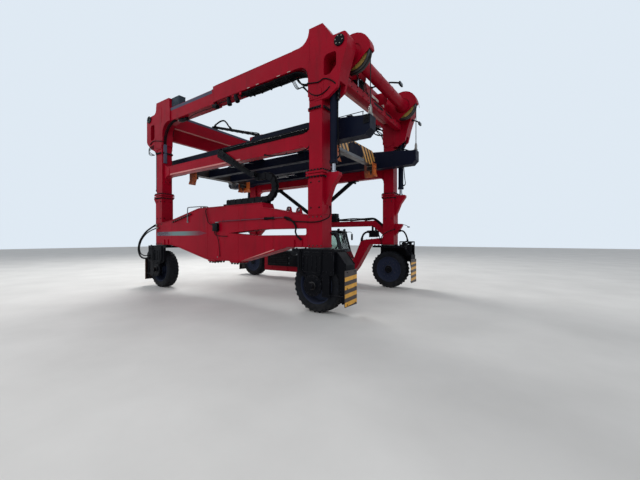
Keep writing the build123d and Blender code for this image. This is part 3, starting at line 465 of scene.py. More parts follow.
AMBER = dark_paint("amber_lens", (226, 128, 24), 0.2, 0.05)

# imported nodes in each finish; those with a corner's name come once for each wheel unit
NODES = {
    RED: "right_side_beam left_side_beam left_drop_frame leg_sleeves inner_legs front_head_beams "
         "rear_head_beams end_girders mid_beams sheave_guards hoist_tube_front hoist_tube_rear",
    BLACK: "chain_tray power_pack hose_tray v_brace chain_arm lamps hose_arm yoke_CORNER wheel_CORNER",
    DARK: "lift_beam_right lift_beam_left spreader_beams cross_beams lift_barrels side_shift",
    DARK_STEEL: "slew_rings twist_locks",
    CHROME: "rope_sockets lift_rods",
    CAB: "cab_shell cab_door",
    GLASS: "cab_glass door_glass",
    SPREADER_STRIPES: "spreader_ends",
    ORANGE: "corner_guides",
    ROPE: "hoist_ropes",
    PLASTIC: "energy_chain",
    VINYL: "cab_seat",
    GREY: "lock_drive",
    BOARD: "hazard_board_CORNER",
    TYRE: "tyre_CORNER",
}
NODE_FINISH = {name.replace("CORNER", corner): finish for finish, names in NODES.items()
               for name in names.split() for corner, sx, sy in CORNERS}
for node_name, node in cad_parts.items():
    node.data.materials.clear()
    node.data.materials.append(NODE_FINISH[node_name])


# Mesh helpers: each adds a form to a bmesh, and piece() turns the bmesh into an object on a body
def piece(name, form, finish, body, sharp=35):
    """An object of one or more finishes, which rides on a body when one is given."""
    bmesh.ops.recalc_face_normals(form, faces=form.faces)
    mesh = bpy.data.meshes.new(name)
    form.to_mesh(mesh)
    form.free()
    for material in finish if isinstance(finish, (list, tuple)) else [finish]:
        mesh.materials.append(material)
    mesh.polygons.foreach_set("use_smooth", [True] * len(mesh.polygons))
    mesh.set_sharp_from_angle(angle=math.radians(sharp))
    made = bpy.data.objects.new(name, mesh)
    scene.collection.objects.link(made)
    if body:
        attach(made, body)
    return made


def blended_piece(name, form, finish, bodies, start, end, sharp=35):
    """A piece on no body, with its transform baked into its mesh."""
    made = piece(name, form, finish, None, sharp=sharp)
    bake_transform(made)
    return made


def ease_edges(form, verts, ease, segments=1):
    edges = list({edge for vert in verts for edge in vert.link_edges})
    bmesh.ops.bevel(form, geom=edges, offset=ease, segments=segments, profile=0.5, affect="EDGES")


def finish_form(form, verts, turn, ease, segments):
    """Place new vertices by a matrix, then ease their edges."""
    if turn is not None:
        bmesh.ops.transform(form, matrix=turn, verts=verts)
    if ease:
        ease_edges(form, verts, ease, segments)


def add_box(form, x, y, z, ease=0.0, turn=None):
    """A box between pairs of values, in either order, with its edges eased."""
    made = bmesh.ops.create_cube(form, size=1.0)["verts"]
    pairs = [sorted(pair) for pair in (x, y, z)]
    for vert in made:
        vert.co = [low if value < 0 else high for value, (low, high) in zip(vert.co, pairs)]
    finish_form(form, made, turn, ease, 2)


def add_prism(form, axis, rows, start, end, ease=0.0, turn=None):
    """An outline in the plane across an axis, pushed from one value to another along it."""
    def point(u, v, w):
        return {"x": (w, u, v), "y": (u, w, v), "z": (u, v, w)}[axis]
    low = [form.verts.new(point(u, v, start)) for u, v in rows]
    high = [form.verts.new(point(u, v, end)) for u, v in rows]
    form.faces.new(low)
    form.faces.new(high[::-1])
    count = len(rows)
    for index in range(count):
        form.faces.new((low[index], high[index], high[(index + 1) % count], low[(index + 1) % count]))
    finish_form(form, low + high, turn, ease, 1)


def frame_along(axis):
    """The unit vector along an axis and two across it."""
    axis = Vector(axis).normalized()
    side = axis.orthogonal().normalized()
    return axis, side, axis.cross(side)


def angles(count, phase=0.0):
    """Angles of evenly spaced steps round a circle."""
    return [2 * math.pi * (step + phase) / count for step in range(count)]


def on_circle(centre, side, other, angle, radius):
    return centre + (side * math.cos(angle) + other * math.sin(angle)) * radius


def round_trip(points):
    """Each point with the next one, and the last with the first."""
    return zip(points, points[1:] + points[:1])


def around(value, half):
    """The pair of values at a distance on both sides of one."""
    return value - half, value + half


def off(face, side, low, high):
    """A pair of places measured outward from a face whose outer side is +1 or -1."""
    return face + side * low, face + side * high


def mirror_pair(side, low, high):
    """A pair of places on one side of the middle plane."""
    return side * low, side * high


def spread(low, high, count):
    """Values evenly spread from one to another."""
    return [low + (high - low) * index / (count - 1) for index in range(count)]


def add_turned(form, origin, axis, rows, steps=32, closed=False):
    """A form turned about an axis from rows of (distance along it, radius)."""
    origin = Vector(origin)
    axis, side, other = frame_along(axis)
    rings = []
    for along, radius in rows:
        if radius < 1e-6:
            rings.append([form.verts.new(origin + axis * along)])
            continue
        middle = origin + axis * along
        rings.append([form.verts.new(on_circle(middle, side, other, angle, radius))
            for angle in angles(steps)])
    pairs = list(zip(rings, rings[1:]))
    if closed:
        pairs.append((rings[-1], rings[0]))
    for low, high in pairs:
        for step in range(steps):
            after = (step + 1) % steps
            corners = [low[step % len(low)], low[after % len(low)], high[after % len(high)],
                       high[step % len(high)]]
            unique = list(dict.fromkeys(corners))
            if len(unique) > 2:
                form.faces.new(unique)
    if not closed:
        for ring in (rings[0], rings[-1]):
            if len(ring) > 1:
                form.faces.new(ring)


def add_solid(form, origin, axis, rows, steps=32):
    """A turned form closed on its axis at both ends."""
    add_turned(form, origin, axis, [(rows[0][0], 0.0), *rows, (rows[-1][0], 0.0)], steps)


def add_ring(form, origin, axis, reach, radii, steps):
    """A plain collar between two distances along an axis and two radii."""
    rows = [(reach[0], radii[0]), (reach[0], radii[1]), (reach[1], radii[1]), (reach[1], radii[0])]
    add_turned(form, origin, axis, rows, steps, closed=True)


def add_rod(form, start, end, radius, steps=12):
    """A round bar between two points, with eased ends."""
    start, end = Vector(start), Vector(end)
    length = (end - start).length
    ease = min(radius * 0.25, length * 0.2)
    add_turned(form, start, end - start, [(0, 0), (0, radius - ease), (ease, radius), (length - ease, radius),
        (length, radius - ease), (length, 0)], steps)


def add_bar(form, start, end, width, depth, up=(0, 0, 1), ease=0.003):
    """A flat bar between two points; width lies across the line and the up direction."""
    start, end, up = Vector(start), Vector(end), Vector(up)
    along = (end - start).normalized()
    across = along.cross(up).normalized()
    rise = across.cross(along)
    turn = Matrix((
        (along.x, across.x, rise.x, start.x),
        (along.y, across.y, rise.y, start.y),
        (along.z, across.z, rise.z, start.z),
        (0, 0, 0, 1),
    ))
    add_box(form, (0, (end - start).length), (-width / 2, width / 2), (-depth / 2, depth / 2), ease, turn)


def add_bolt(form, place, normal, size=0.03, height=0.018):
    """A hexagon head on a washer."""
    axis, side, other = frame_along(normal)
    place = Vector(place)
    add_turned(form, place, axis, [(0, 0), (0, size * 0.72), (height * 0.2, size * 0.72), (height * 0.2, 0)],
        10)
    add_turned(form, place + axis * height * 0.2, axis, [(0, 0), (0, size * 0.5), (height * 0.75, size * 0.5),
        (height * 0.9, size * 0.4), (height * 0.9, 0)], 6)


def smooth_line(points, per_span=6):
    """Points on a smooth line through the given ones."""
    points = [Vector(p) for p in points]
    ends = [points[0] * 2 - points[1], *points, points[-1] * 2 - points[-2]]
    line = []
    for a, b, c, d in zip(ends, ends[1:], ends[2:], ends[3:]):
        for step in range(per_span):
            t = step / per_span
            line.append(0.5 * ((2 * b) + (c - a) * t + (2 * a - 5 * b + 4 * c - d) * t * t
                               + (3 * b - a - 3 * c + d) * t ** 3))
    line.append(points[-1])
    return line


def add_sweep(form, line, radius, sides=8):
    """A round tube along a line of points, with closed ends."""
    side = None
    rings = []
    for index, point in enumerate(line):
        before, after = line[max(index - 1, 0)], line[min(index + 1, len(line) - 1)]
        along = (after - before).normalized()
        if side is None:
            side = along.orthogonal().normalized()
        side = (side - along * side.dot(along)).normalized()
        other = along.cross(side)
        rings.append([form.verts.new(on_circle(point, side, other, angle, radius))
            for angle in angles(sides)])
    for low, high in zip(rings, rings[1:]):
        for step in range(sides):
            after = (step + 1) % sides
            form.faces.new((low[step], low[after], high[after], high[step]))
    form.faces.new(rings[0][::-1])
    form.faces.new(rings[-1])


def add_hose(form, points, radius=0.014, sides=8, per_span=6):
    """A hydraulic hose through points with a crimped collar at each end."""
    line = smooth_line(points, per_span)
    add_sweep(form, line, radius, sides)
    for tip, inner in ((line[0], line[1]), (line[-1], line[-2])):
        along = (inner - tip).normalized()
        add_rod(form, tip - along * 0.01, tip + along * radius * 3.2, radius * 1.35, 8)


def add_frame(form, corners, width, depth, up=(0, 0, 1)):
    """Bars round a closed outline."""
    for start, end in round_trip(corners):
        add_bar(form, start, end, width, depth, up)


def add_swept_rod(form, points, per_span, radius, sides=8):
    add_sweep(form, smooth_line(points, per_span), radius, sides)


def add_bolts(form, places, normal, size=0.03, height=0.018):
    for place in places:
        add_bolt(form, place, normal, size, height)


def add_ring_of_bolts(form, centre, normal, radius, count, size=0.03, height=0.018, phase=0.0):
    axis, side, other = frame_along(normal)
    for angle in angles(count, phase):
        add_bolt(form, on_circle(Vector(centre), side, other, angle, radius), normal, size, height)


def add_weld(form, points, radius=0.005):
    """A weld bead: a thin rippled tube along straight runs."""
    line = []
    for start, end in zip(points, points[1:]):
        start, end = Vector(start), Vector(end)
        count = max(2, int((end - start).length / 0.05))
        line += [start.lerp(end, step / count) for step in range(count)]
    line.append(Vector(points[-1]))
    add_sweep(form, line, radius, 5)


def add_clamp(form, place, along, up, width, height=0.03, length=0.03, bolt=0.014):
    """A saddle over a bundle of hoses: a block with two small bolts, its foot at the place."""
    along, up = Vector(along).normalized(), Vector(up).normalized()
    place = Vector(place)
    add_bar(form, place - along * length / 2 + up * height / 2, place + along * length / 2 + up * height / 2,
        width, height, up, 0.004)
    across = along.cross(up)
    for side in (-1, 1):
        add_bolt(form, place + across * side * width * 0.36 + up * height, up, bolt, 0.008)


# Wheels: tyre with two rows of slanting lugs, dished rim, nuts
LUGS = 30
LUG_ROWS = [
    # distance from the middle plane, low radius, high radius, lean angle, half width
    (0.005, 0.580, 0.605, 0.000, 0.017),
    (0.070, 0.580, 0.609, 0.035, 0.021),
    (0.142, 0.572, 0.609, 0.085, 0.025),
    (0.172, 0.532, 0.572, 0.104, 0.026),
]
TYRE_HALF = [
    # distance from the middle plane, radius
    (0.150, 0.400), (0.158, 0.414), (0.167, 0.440), (0.172, 0.474), (0.1775, 0.484), (0.1775, 0.494),
    (0.172, 0.502), (0.172, 0.520), (0.170, 0.546), (0.160, 0.572), (0.140, 0.586), (0.070, 0.591),
    (0.008, 0.590),
]
RIM_ROWS = [
    # distance outward, radius
    (0.150, 0.000), (0.150, 0.092), (0.143, 0.106), (0.118, 0.112), (0.112, 0.145), (-0.070, 0.150),
    (-0.082, 0.335), (-0.060, 0.366), (0.130, 0.380), (0.152, 0.394), (0.165, 0.413), (0.159, 0.419),
    (0.148, 0.402), (-0.148, 0.402), (-0.159, 0.419), (-0.165, 0.413), (-0.152, 0.390), (-0.132, 0.376),
    (-0.116, 0.352), (-0.111, 0.330), (-0.111, 0.172), (-0.122, 0.160), (-0.140, 0.132), (-0.166, 0.126),
    (-0.1725, 0.112), (-0.1725, 0.000),
]


def make_wheel(corner, sx, sy):
    centre = Vector((sx * LEG_X, sy * LEG_Y, TYRE_RADIUS))
    axis, side, other = frame_along((0, sy, 0))
    body = "wheel_" + corner

    form = bmesh.new()
    add_turned(form, centre, axis, TYRE_HALF + [(-u, r) for u, r in reversed(TYRE_HALF)], 96, closed=True)
    lugs = []
    for flank, phase in ((1, 0.0), (-1, 0.5)):
        for middle in angles(LUGS, phase):
            sections = []
            for along, low, high, lean, half in LUG_ROWS:
                section = []
                for radius, turn in ((low, -1), (low, 1), (high, 1), (high, -1)):
                    angle = middle + lean + turn * half / radius * (1.15 if radius == low else 1.0)
                    spot = on_circle(centre + axis * flank * along, side, other, angle, radius)
                    section.append(form.verts.new(spot))
                sections.append(section)
            for inner, outer in zip(sections, sections[1:]):
                for step in range(4):
                    after = (step + 1) % 4
                    form.faces.new((inner[step], inner[after], outer[after], outer[step]))
            form.faces.new(sections[0])
            form.faces.new(sections[-1][::-1])
            for section in sections:
                lugs += section
    ease_edges(form, lugs, 0.004)
    tyre = piece("tyre_tread_" + corner, form, TYRE, body, sharp=30)
    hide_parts("tyre_" + corner)

    form = bmesh.new()
    add_turned(form, centre, axis, RIM_ROWS, 72)
    add_ring_of_bolts(form, centre - axis * 0.110, -axis, 0.235, 10, 0.036, 0.03)
    add_ring_of_bolts(form, centre - axis * 0.1725, -axis, 0.086, 6, 0.018, 0.005)
    for angle in angles(10, 0.5):
        spot = on_circle(centre - axis * 0.104, side, other, angle, 0.30)
        add_solid(form, spot, -axis, [(0.0, 0.022), (0.009, 0.022), (0.009, 0.016), (0.002, 0.015)], 12)
    add_ring(form, centre - axis * 0.098, -axis, (0.0, 0.010), (0.340, 0.352), 64)
    rim = piece("rim_dish_" + corner, form, WHEEL, body, sharp=40)
    form = bmesh.new()
    add_solid(form, centre - axis * 0.168, -axis, [(0.0, 0.124), (0.010, 0.124), (0.016, 0.116),
        (0.016, 0.072), (0.030, 0.066)], 40)
    piece("wheel_hub_" + corner, form, BLACK, body, sharp=30)
    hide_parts("wheel_" + corner)


# Yokes: folded edges of the recessed panel, hub cover, hoses, seams, guard and board frame
def make_yoke(corner, sx, sy):
    body = "steer_" + corner
    out = Vector((0, sy, 0))
    face = sy * (LEG_Y + 0.270)
    x_mid = sx * LEG_X

    def at(u, z, lift=0.0):
        return Vector((x_mid + sx * u, face + sy * lift, z))

    form = bmesh.new()
    for u_low, u_high, z_low, z_high in ((-0.278, 0.198, 1.256, 1.278), (-0.278, 0.198, 0.882, 0.904),
            (-0.278, -0.256, 0.900, 1.260), (0.176, 0.198, 0.900, 1.260)):
        add_box(form, (x_mid + sx * u_low, x_mid + sx * u_high), (face - sy * 0.010, face + sy * 0.007),
            (z_low, z_high), 0.003)
    for u in (-0.16, -0.04, 0.08):
        add_box(form, (x_mid + sx * (u - 0.007), x_mid + sx * (u + 0.007)),
            (face - sy * 0.014, face - sy * 0.002), (0.915, 1.245), 0.003)
    add_bolts(form, [at(u, z, 0.007) for u in (-0.267, 0.187) for z in (0.94, 1.08, 1.22)], out, 0.016, 0.008)
    add_bolts(form, [at(u, z) for u in (0.27, 0.36, 0.47) for z in (1.28, 0.92)], out, 0.026, 0.016)
    add_weld(form, [at(-0.43, 1.332, 0.002), at(0.53, 1.332, 0.002)], 0.007)
    hub = at(0, TYRE_RADIUS)
    add_turned(form, hub, out, [(-0.004, 0.180), (-0.004, 0.233), (0.024, 0.233), (0.031, 0.226),
        (0.031, 0.180)], 56, closed=True)
    add_ring_of_bolts(form, hub + out * 0.030, out, 0.196, 12, 0.026, 0.014)
    add_ring_of_bolts(form, hub + out * 0.030, out, 0.110, 8, 0.020, 0.010)
    # edge strips of the guard and lips of the board
    for v in (-1, 1):
        for (u_a, z_a), (u_b, z_b) in (((0.505, 1.346), (0.560, 1.346)), ((0.560, 1.346), (0.780, 1.080))):
            add_bar(form, (x_mid + sx * u_a, sy * LEG_Y + v * 0.186, z_a),
                (x_mid + sx * u_b, sy * LEG_Y + v * 0.186, z_b), 0.010, 0.012, (0, 0, 1), 0.002)
    # side plate of the guard, outboard of the tyre
    cheek = [(0.520, 1.340), (0.562, 1.340), (0.776, 1.074), (0.776, 0.300), (0.690, 0.260), (0.650, 0.300),
             (0.640, 0.610), (0.600, 0.860), (0.520, 0.880)]
    add_prism(form, "y", [(x_mid + sx * u, z) for u, z in cheek], sy * (LEG_Y + 0.183), sy * (LEG_Y + 0.190))
    # lugs and pins of the steering links on the top plate
    for u, v in ((-0.50, -0.14), (-0.50, 0.20), (0.47, -0.14), (0.47, 0.20)):
        add_turned(form, Vector((x_mid + sx * u, sy * (LEG_Y + v), 1.395)), (0, 0, 1),
            [(0.0, 0.0), (0.0, 0.030), (0.008, 0.030), (0.010, 0.018), (0.022, 0.018), (0.024, 0.0)], 16)
    for v in spread(-0.15, 0.22, 5):
        add_bolt(form, (x_mid + sx * 0.530, sy * (LEG_Y + v), 1.362), (sx, 0, 0), 0.022, 0.012)
        add_bolt(form, (x_mid - sx * 0.560, sy * (LEG_Y + v), 1.362), (-sx, 0, 0), 0.022, 0.012)
    # welds of the neck and the strut
    for u, low, high in ((-0.200, 0.445, 0.850), (0.200, 0.445, 0.850), (0.235, 0.40, 0.85),
            (0.415, 0.40, 0.85)):
        add_weld(form, [at(u, low, -0.002), at(u, high, -0.002)], 0.005)
    piece("yoke_trim_" + corner, form, BLACK, body)

    form = bmesh.new()
    add_turned(form, hub, out, [(0.031, 0.0745), (0.031, 0.088), (0.040, 0.088), (0.044, 0.082),
        (0.044, 0.0745)], 40, closed=True)
    add_turned(form, hub, out, [(0.094, 0.0745), (0.096, 0.079), (0.0975, 0.079), (0.0985, 0.0745)], 40,
        closed=True)
    piece("hub_ring_" + corner, form, DARK_STEEL, body)

    form = bmesh.new()
    for lane, lift in ((0.0, 0.016), (0.045, 0.020)):
        add_hose(form, [at(-0.10 - lane, 0.775, lift), at(-0.20 - lane, 0.815, lift + 0.012),
            at(-0.300 - lane, 0.93, 0.022), at(-0.310 - lane, 1.12, 0.018), at(-0.310 - lane, 1.27, 0.016),
            at(-0.30 - lane, 1.370, 0.010), at(-0.285 - lane, 1.382, -0.03), at(-0.28 - lane, 1.376, -0.06)],
            0.012)
    add_hose(form, [at(0.10, 0.785, 0.014), at(0.17, 0.83, 0.026), at(0.215, 0.93, 0.024),
        at(0.222, 1.12, 0.018), at(0.230, 1.28, 0.018), at(0.235, 1.370, 0.010), at(0.235, 1.382, -0.03),
        at(0.235, 1.376, -0.06)], 0.010)
    piece("hub_hoses_" + corner, form, HOSE, body)

    # board bracket: two angle arms and a frame behind the striped plate
    form = bmesh.new()
    back = x_mid + sx * 0.776
    for y in (sy * LEG_Y - 0.17, sy * LEG_Y + 0.17):
        add_box(form, (back, back - sx * 0.022), around(y, 0.02), (0.24, 0.955), 0.003)
    for z in (0.27, 0.60, 0.935):
        add_box(form, (back, back - sx * 0.018), (sy * LEG_Y - 0.24, sy * LEG_Y + 0.24), around(z, 0.018),
            0.003)
    front = x_mid + sx * 0.790
    add_bolts(form, [(front, sy * LEG_Y + v, z) for v in (-0.17, 0.17) for z in (0.27, 0.60, 0.935)],
        (sx, 0, 0), 0.020, 0.010)
    piece("board_frame_" + corner, form, BLACK, body)


# Leg sleeves: bolted flanges, wear pads, weld beads, lift cylinders with ports
def make_leg(corner, sx, sy):
    x_mid, y_mid = sx * LEG_X, sy * LEG_Y

    form = bmesh.new()
    for side in (-1, 1):
        for offset in (-0.17, -0.085, 0.0, 0.085, 0.17):
            for z, up in ((FLANGE_TOP, 1), (FLANGE_UNDERSIDE, -1)):
                for u, v in ((offset, side * 0.207), (side * 0.207, offset)):
                    add_bolt(form, (x_mid + u, y_mid + v, z), (0, 0, up), 0.046, 0.034)
        # pad adjusters under the flange
        for z in (2.86, 2.30):
            for offset in (-0.11, 0.11):
                add_bolt(form, (x_mid + offset, y_mid + side * SLEEVE_HALF, z), (0, side, 0), 0.026, 0.022)
                add_bolt(form, (x_mid - sx * SLEEVE_HALF, y_mid + offset, z), (-sx, 0, 0), 0.026, 0.022)
    piece("sleeve_bolts_" + corner, form, BLACK, "chassis")

    form = bmesh.new()
    low = 2.150 if sy < 0 else 1.445
    for u in (-1, 1):
        for v in (-1, 1):
            add_weld(form, [(x_mid + u * 0.187, y_mid + v * 0.187, low + 0.02),
                (x_mid + u * 0.187, y_mid + v * 0.187, 2.985)], 0.006)
    for z in (2.988, low + 0.004):
        ring = [(-1, -1), (1, -1), (1, 1), (-1, 1), (-1, -1)]
        add_weld(form, [(x_mid + u * 0.190, y_mid + v * 0.190, z) for u, v in ring], 0.007)
    piece("sleeve_welds_" + corner, form, RED, "chassis")

    # wear pads between the leg and the sleeve mouth
    form = bmesh.new()
    for side in (-1, 1):
        add_box(form, around(x_mid, 0.12), (y_mid + side * 0.1705, y_mid + side * 0.1745), (3.02, 3.118))
        add_box(form, (x_mid + side * 0.1705, x_mid + side * 0.1745), around(y_mid, 0.12), (3.02, 3.118))
    piece("wear_pads_" + corner, form, PLASTIC, "chassis")

    # lift cylinder: chrome rod on its foot, painted barrel with gland, ports and straps
    x = x_mid + sx * CYLINDER_OFFSET
    form = bmesh.new()
    add_solid(form, (x, y_mid, 3.05), (0, 0, 1), [(0.0, 0.070), (0.030, 0.070), (0.035, 0.066),
        (0.037, 0.045), (1.710, 0.045)], 40)
    rod = piece("lift_rod_" + corner, form, CHROME, "chassis", sharp=30)
    form = bmesh.new()
    add_ring_of_bolts(form, (x, y_mid, 3.0845), (0, 0, 1), 0.057, 4, 0.016, 0.012, 0.5)
    piece("rod_foot_bolts_" + corner, form, DARK_STEEL, "chassis")

    form = bmesh.new()
    add_turned(form, (x, y_mid, 3.25), (0, 0, 1), [(0.0, 0.0455), (0.0, 0.088), (0.004, 0.092),
        (0.056, 0.092), (0.060, 0.088), (0.062, 0.080), (1.560, 0.080), (1.566, 0.090), (1.630, 0.090),
        (1.636, 0.080), (1.650, 0.078), (1.650, 0.0), (1.500, 0.0), (1.500, 0.0455)], 40, closed=True)
    for z in (3.36, 4.74):
        add_rod(form, (x + sx * 0.070, y_mid, z), (x + sx * 0.118, y_mid, z), 0.022, 12)
    add_ring_of_bolts(form, (x, y_mid, 3.25), (0, 0, -1), 0.072, 8, 0.014, 0.010)
    barrel = piece("lift_barrel_" + corner, form, DARK, "upper_frame", sharp=30)

    form = bmesh.new()
    add_hose(form, [(x + sx * 0.110, y_mid, 3.36), (x + sx * 0.150, y_mid, 3.42),
        (x + sx * 0.128, y_mid, 3.62), (x + sx * 0.100, y_mid - sy * 0.01, 4.0),
        (x + sx * 0.100, y_mid - sy * 0.01, 4.5), (x + sx * 0.112, y_mid, 4.70)], 0.013)
    piece("lift_hose_" + corner, form, HOSE, "upper_frame")
    return rod, barrel


# Heads: cover discs on the hoist journals, bolt bands, seam plates and welds
HEAD_FACE = LEG_Y + HEAD_HALF


def make_head(corner, sx, sy):
    out = Vector((0, sy, 0))
    y_out, y_in = sy * HEAD_FACE, sy * (LEG_Y - HEAD_HALF)
    hub = Vector((sx * HOIST_X, y_out + sy * 0.025, HOIST_Z))

    form = bmesh.new()
    add_solid(form, hub - out * 0.022, out, [(0.0, 0.118), (0.024, 0.118), (0.031, 0.111)], 40)
    piece("journal_cover_" + corner, form, BLACK, "upper_frame")
    form = bmesh.new()
    add_ring_of_bolts(form, hub + out * 0.009, out, 0.086, 6, 0.016, 0.010)
    piece("journal_bolts_" + corner, form, ZINC, "upper_frame")

    form = bmesh.new()
    skirt = 4.64 if sx > 0 else 4.585
    for u in (-0.13, -0.065, 0.0, 0.065, 0.13):
        add_bolt(form, (sx * LEG_X + u, sy * (LEG_Y + 0.190), 4.470), out, 0.048, 0.030)
        add_bolt(form, (sx * LEG_X + u, sy * (LEG_Y - 0.190), 4.470), -out, 0.048, 0.030)
        add_bolt(form, (sx * (LEG_X + 0.190), sy * LEG_Y + u, 4.470), (sx, 0, 0), 0.048, 0.030)
        add_bolt(form, (sx * (LEG_X - 0.190), sy * LEG_Y + u, 4.470), (-sx, 0, 0), 0.048, 0.030)
        add_bolt(form, (sx * LEG_X + u, y_out, skirt + 0.06), out, 0.022, 0.014)
        add_bolt(form, (sx * LEG_X + u, y_in, skirt + 0.06), -out, 0.022, 0.014)
    piece("skirt_bolts_" + corner, form, BLACK, "upper_frame")

    # doubler round the foot of the head, with a cut seam above it
    form = bmesh.new()
    for face, side in ((y_out, sy), (y_in, -sy)):
        rows = [(sx * (LEG_X - 0.168), skirt + 0.02), (sx * (LEG_X + 0.168), skirt + 0.02),
            (sx * (LEG_X + 0.168), skirt + 0.20), (sx * (LEG_X + 0.10), skirt + 0.26),
            (sx * (LEG_X - 0.10), skirt + 0.26), (sx * (LEG_X - 0.168), skirt + 0.20)]
        add_prism(form, "y", rows, face - side * 0.002, face + side * 0.010, 0.003)
        top = 6.23 if sx > 0 else 6.17
        add_weld(form, [(sx * 3.03, face, 5.47), (sx * 3.03, face, 5.93), (sx * 3.03, face, top - 0.19)],
            0.006)
        add_weld(form, [(sx * 3.40, face, 4.66), (sx * 3.40, face, 5.02)], 0.005)
    piece("head_doublers_" + corner, form, RED, "upper_frame")


# Cables and fittings on and round the heads; the barrel lamps hang along one line
LAMP_Y = -2.245


def make_head_fittings():
    hose, black, steel, red, shade_strip = (bmesh.new() for _ in range(5))
    near = -(HEAD_FACE + 0.014)
    # cables over the outer faces of the two right heads
    add_hose(hose, [(2.99, near, 5.05), (3.14, near - 0.004, 5.020), (3.29, near, 5.000), (3.40, near, 5.035),
        (3.52, near, 5.000), (3.64, near, 4.920), (3.70, near + 0.02, 4.860)], 0.013)
    add_hose(hose, [(2.985, -2.20, 4.98), (3.02, near + 0.02, 4.86), (3.14, near, 4.76), (3.30, near, 4.715),
        (3.46, near, 4.755), (3.56, near + 0.02, 4.83)], 0.012)
    add_hose(hose, [(-3.72, near, 4.860), (-3.60, near, 4.925), (-3.43, near - 0.004, 4.930),
        (-3.20, near, 4.885), (-3.02, near, 4.850), (-2.99, -2.20, 4.83)], 0.013)
    # fitting clusters beside the barrels' tops
    for sx, sy in ((1, -1), (1, 1), (-1, 1), (-1, -1)):
        x, y = sx * (LEG_X + CYLINDER_OFFSET), sy * LEG_Y
        for z in (4.62, 4.72, 4.82):
            add_box(black, (x + sx * 0.076, x + sx * 0.128), around(y, 0.045), around(z, 0.034), 0.008)
            add_rod(steel, (x + sx * 0.124, y - 0.022, z), (x + sx * 0.152, y - 0.022, z), 0.014, 10)
            add_hose(hose, [(x + sx * 0.150, y - 0.022, z), (x + sx * 0.178, y - 0.03, z + 0.03),
                (x + sx * 0.160, y - 0.05, z + 0.12), (x + sx * 0.105, y - 0.055, z + 0.16)], 0.010)
    # hoses on the inner corner of each leg, from the top beams down to the middle beams; the bolted grey
    # strip beside them is painted shade of the leg's face, shaped as a duct
    for sx, sy in ((-1, -1), (1, 1), (-1, 1)):
        add_box(shade_strip, mirror_pair(sx, 2.970, 3.019), (sy * (LEG_Y + 0.030), sy * (LEG_Y + 0.130)),
            (4.14, 4.76), 0.004)
        add_bolts(shade_strip, [(sx * 2.970, sy * (LEG_Y + 0.080), z) for z in spread(4.22, 4.68, 4)], (-sx, 0, 0),
            0.018, 0.008)
        for lane, radius in ((0.070, 0.014), (0.102, 0.012), (0.138, 0.014)):
            y = sy * (LEG_Y - 0.020 + lane)
            add_hose(hose, [(sx * 2.36, y, 5.43), (sx * 2.56, y, 5.405), (sx * 2.72, y, 5.330),
                (sx * 2.86, y, 5.200), (sx * 2.950, y, 5.05), (sx * 2.984, y, 4.90), (sx * 2.988, y, 4.755)],
                radius, 8, 5)
    # valve box, pump and bracket under the rear end of the right top beam
    add_box(steel, (-2.280, -2.180), (-2.170, -2.080), (5.395, 5.452), 0.006)
    add_box(black, (-2.180, -1.980), (-2.190, -2.060), (5.350, 5.448), 0.010)
    add_turned(black, (-1.870, -2.125, 5.385), (1, 0, 0), [(-0.10, 0.0), (-0.10, 0.050), (-0.085, 0.060),
        (0.040, 0.060), (0.050, 0.048), (0.075, 0.048), (0.078, 0.0)], 24)
    add_box(black, (-1.90, -1.84), (-2.16, -2.09), (5.42, 5.446), 0.004)
    add_hose(hose, [(-1.80, -2.125, 5.385), (-1.62, -2.16, 5.372), (-1.36, -2.20, 5.385),
        (-0.90, -2.23, 5.375), (-0.36, LAMP_Y, 5.345)], 0.010)
    add_hose(hose, [(-0.20, LAMP_Y, 5.35), (0.02, LAMP_Y, 5.40), (0.20, LAMP_Y, 5.39), (0.31, LAMP_Y, 5.41)],
        0.012)
    add_turned(black, (3.66, -1.30, 5.78), (1, 0, 0.2), [(-0.06, 0.0), (-0.06, 0.045), (-0.05, 0.060),
        (0.055, 0.060), (0.065, 0.050), (0.066, 0.0)], 24)
    add_box(black, (3.37, 3.62), (-1.33, -1.27), (5.735, 5.765), 0.004)
    # barrel lamps and their red brackets ahead of the step in the right top beam
    for x, z, lean in ((-0.27, 5.350, (1, 0, -0.35)), (0.31, 5.345, (0.3, 0, -1)),
            (0.61, 5.350, (0.5, 0, -1))):
        add_turned(black, (x, LAMP_Y, z), lean, [(-0.105, 0.0), (-0.100, 0.050), (0.030, 0.062),
            (0.100, 0.066), (0.106, 0.058), (0.092, 0.052), (0.092, 0.0)], 24)
        add_bar(black, (x, LAMP_Y, z + 0.03), (x, -2.225, 5.475), 0.040, 0.012, (1, 0, 0))
        add_box(red, (x - 0.07, x + 0.05), (-2.262, -2.232), (5.470, 5.500), 0.003)
    for x in (0.47, 0.76):
        add_prism(red, "y", [(x - 0.05, 5.482), (x + 0.05, 5.482), (x + 0.035, 5.410), (x - 0.010, 5.400)],
            -2.262, -2.236, 0.003)
    add_box(black, (-0.55, -0.39), (-2.17, -2.03), (5.845, 5.930), 0.010)
    add_turned(black, (-0.47, -2.10, 5.925), (0, 0, 1), [(0.0, 0.0), (0.0, 0.045), (0.050, 0.040),
        (0.060, 0.0)], 20)
    # small pipes at the outer edge of the rear right head
    for lane in (0.0, 0.045, 0.090):
        add_hose(hose, [(-3.52, -2.285, 4.70 + lane), (-3.66, -2.295, 4.685 + lane),
            (-3.80, -2.295, 4.640 + lane), (-3.86, -2.270, 4.560 + lane), (-3.80, -2.240, 4.500 + lane),
            (-3.64, -2.200, 4.500)], 0.010)
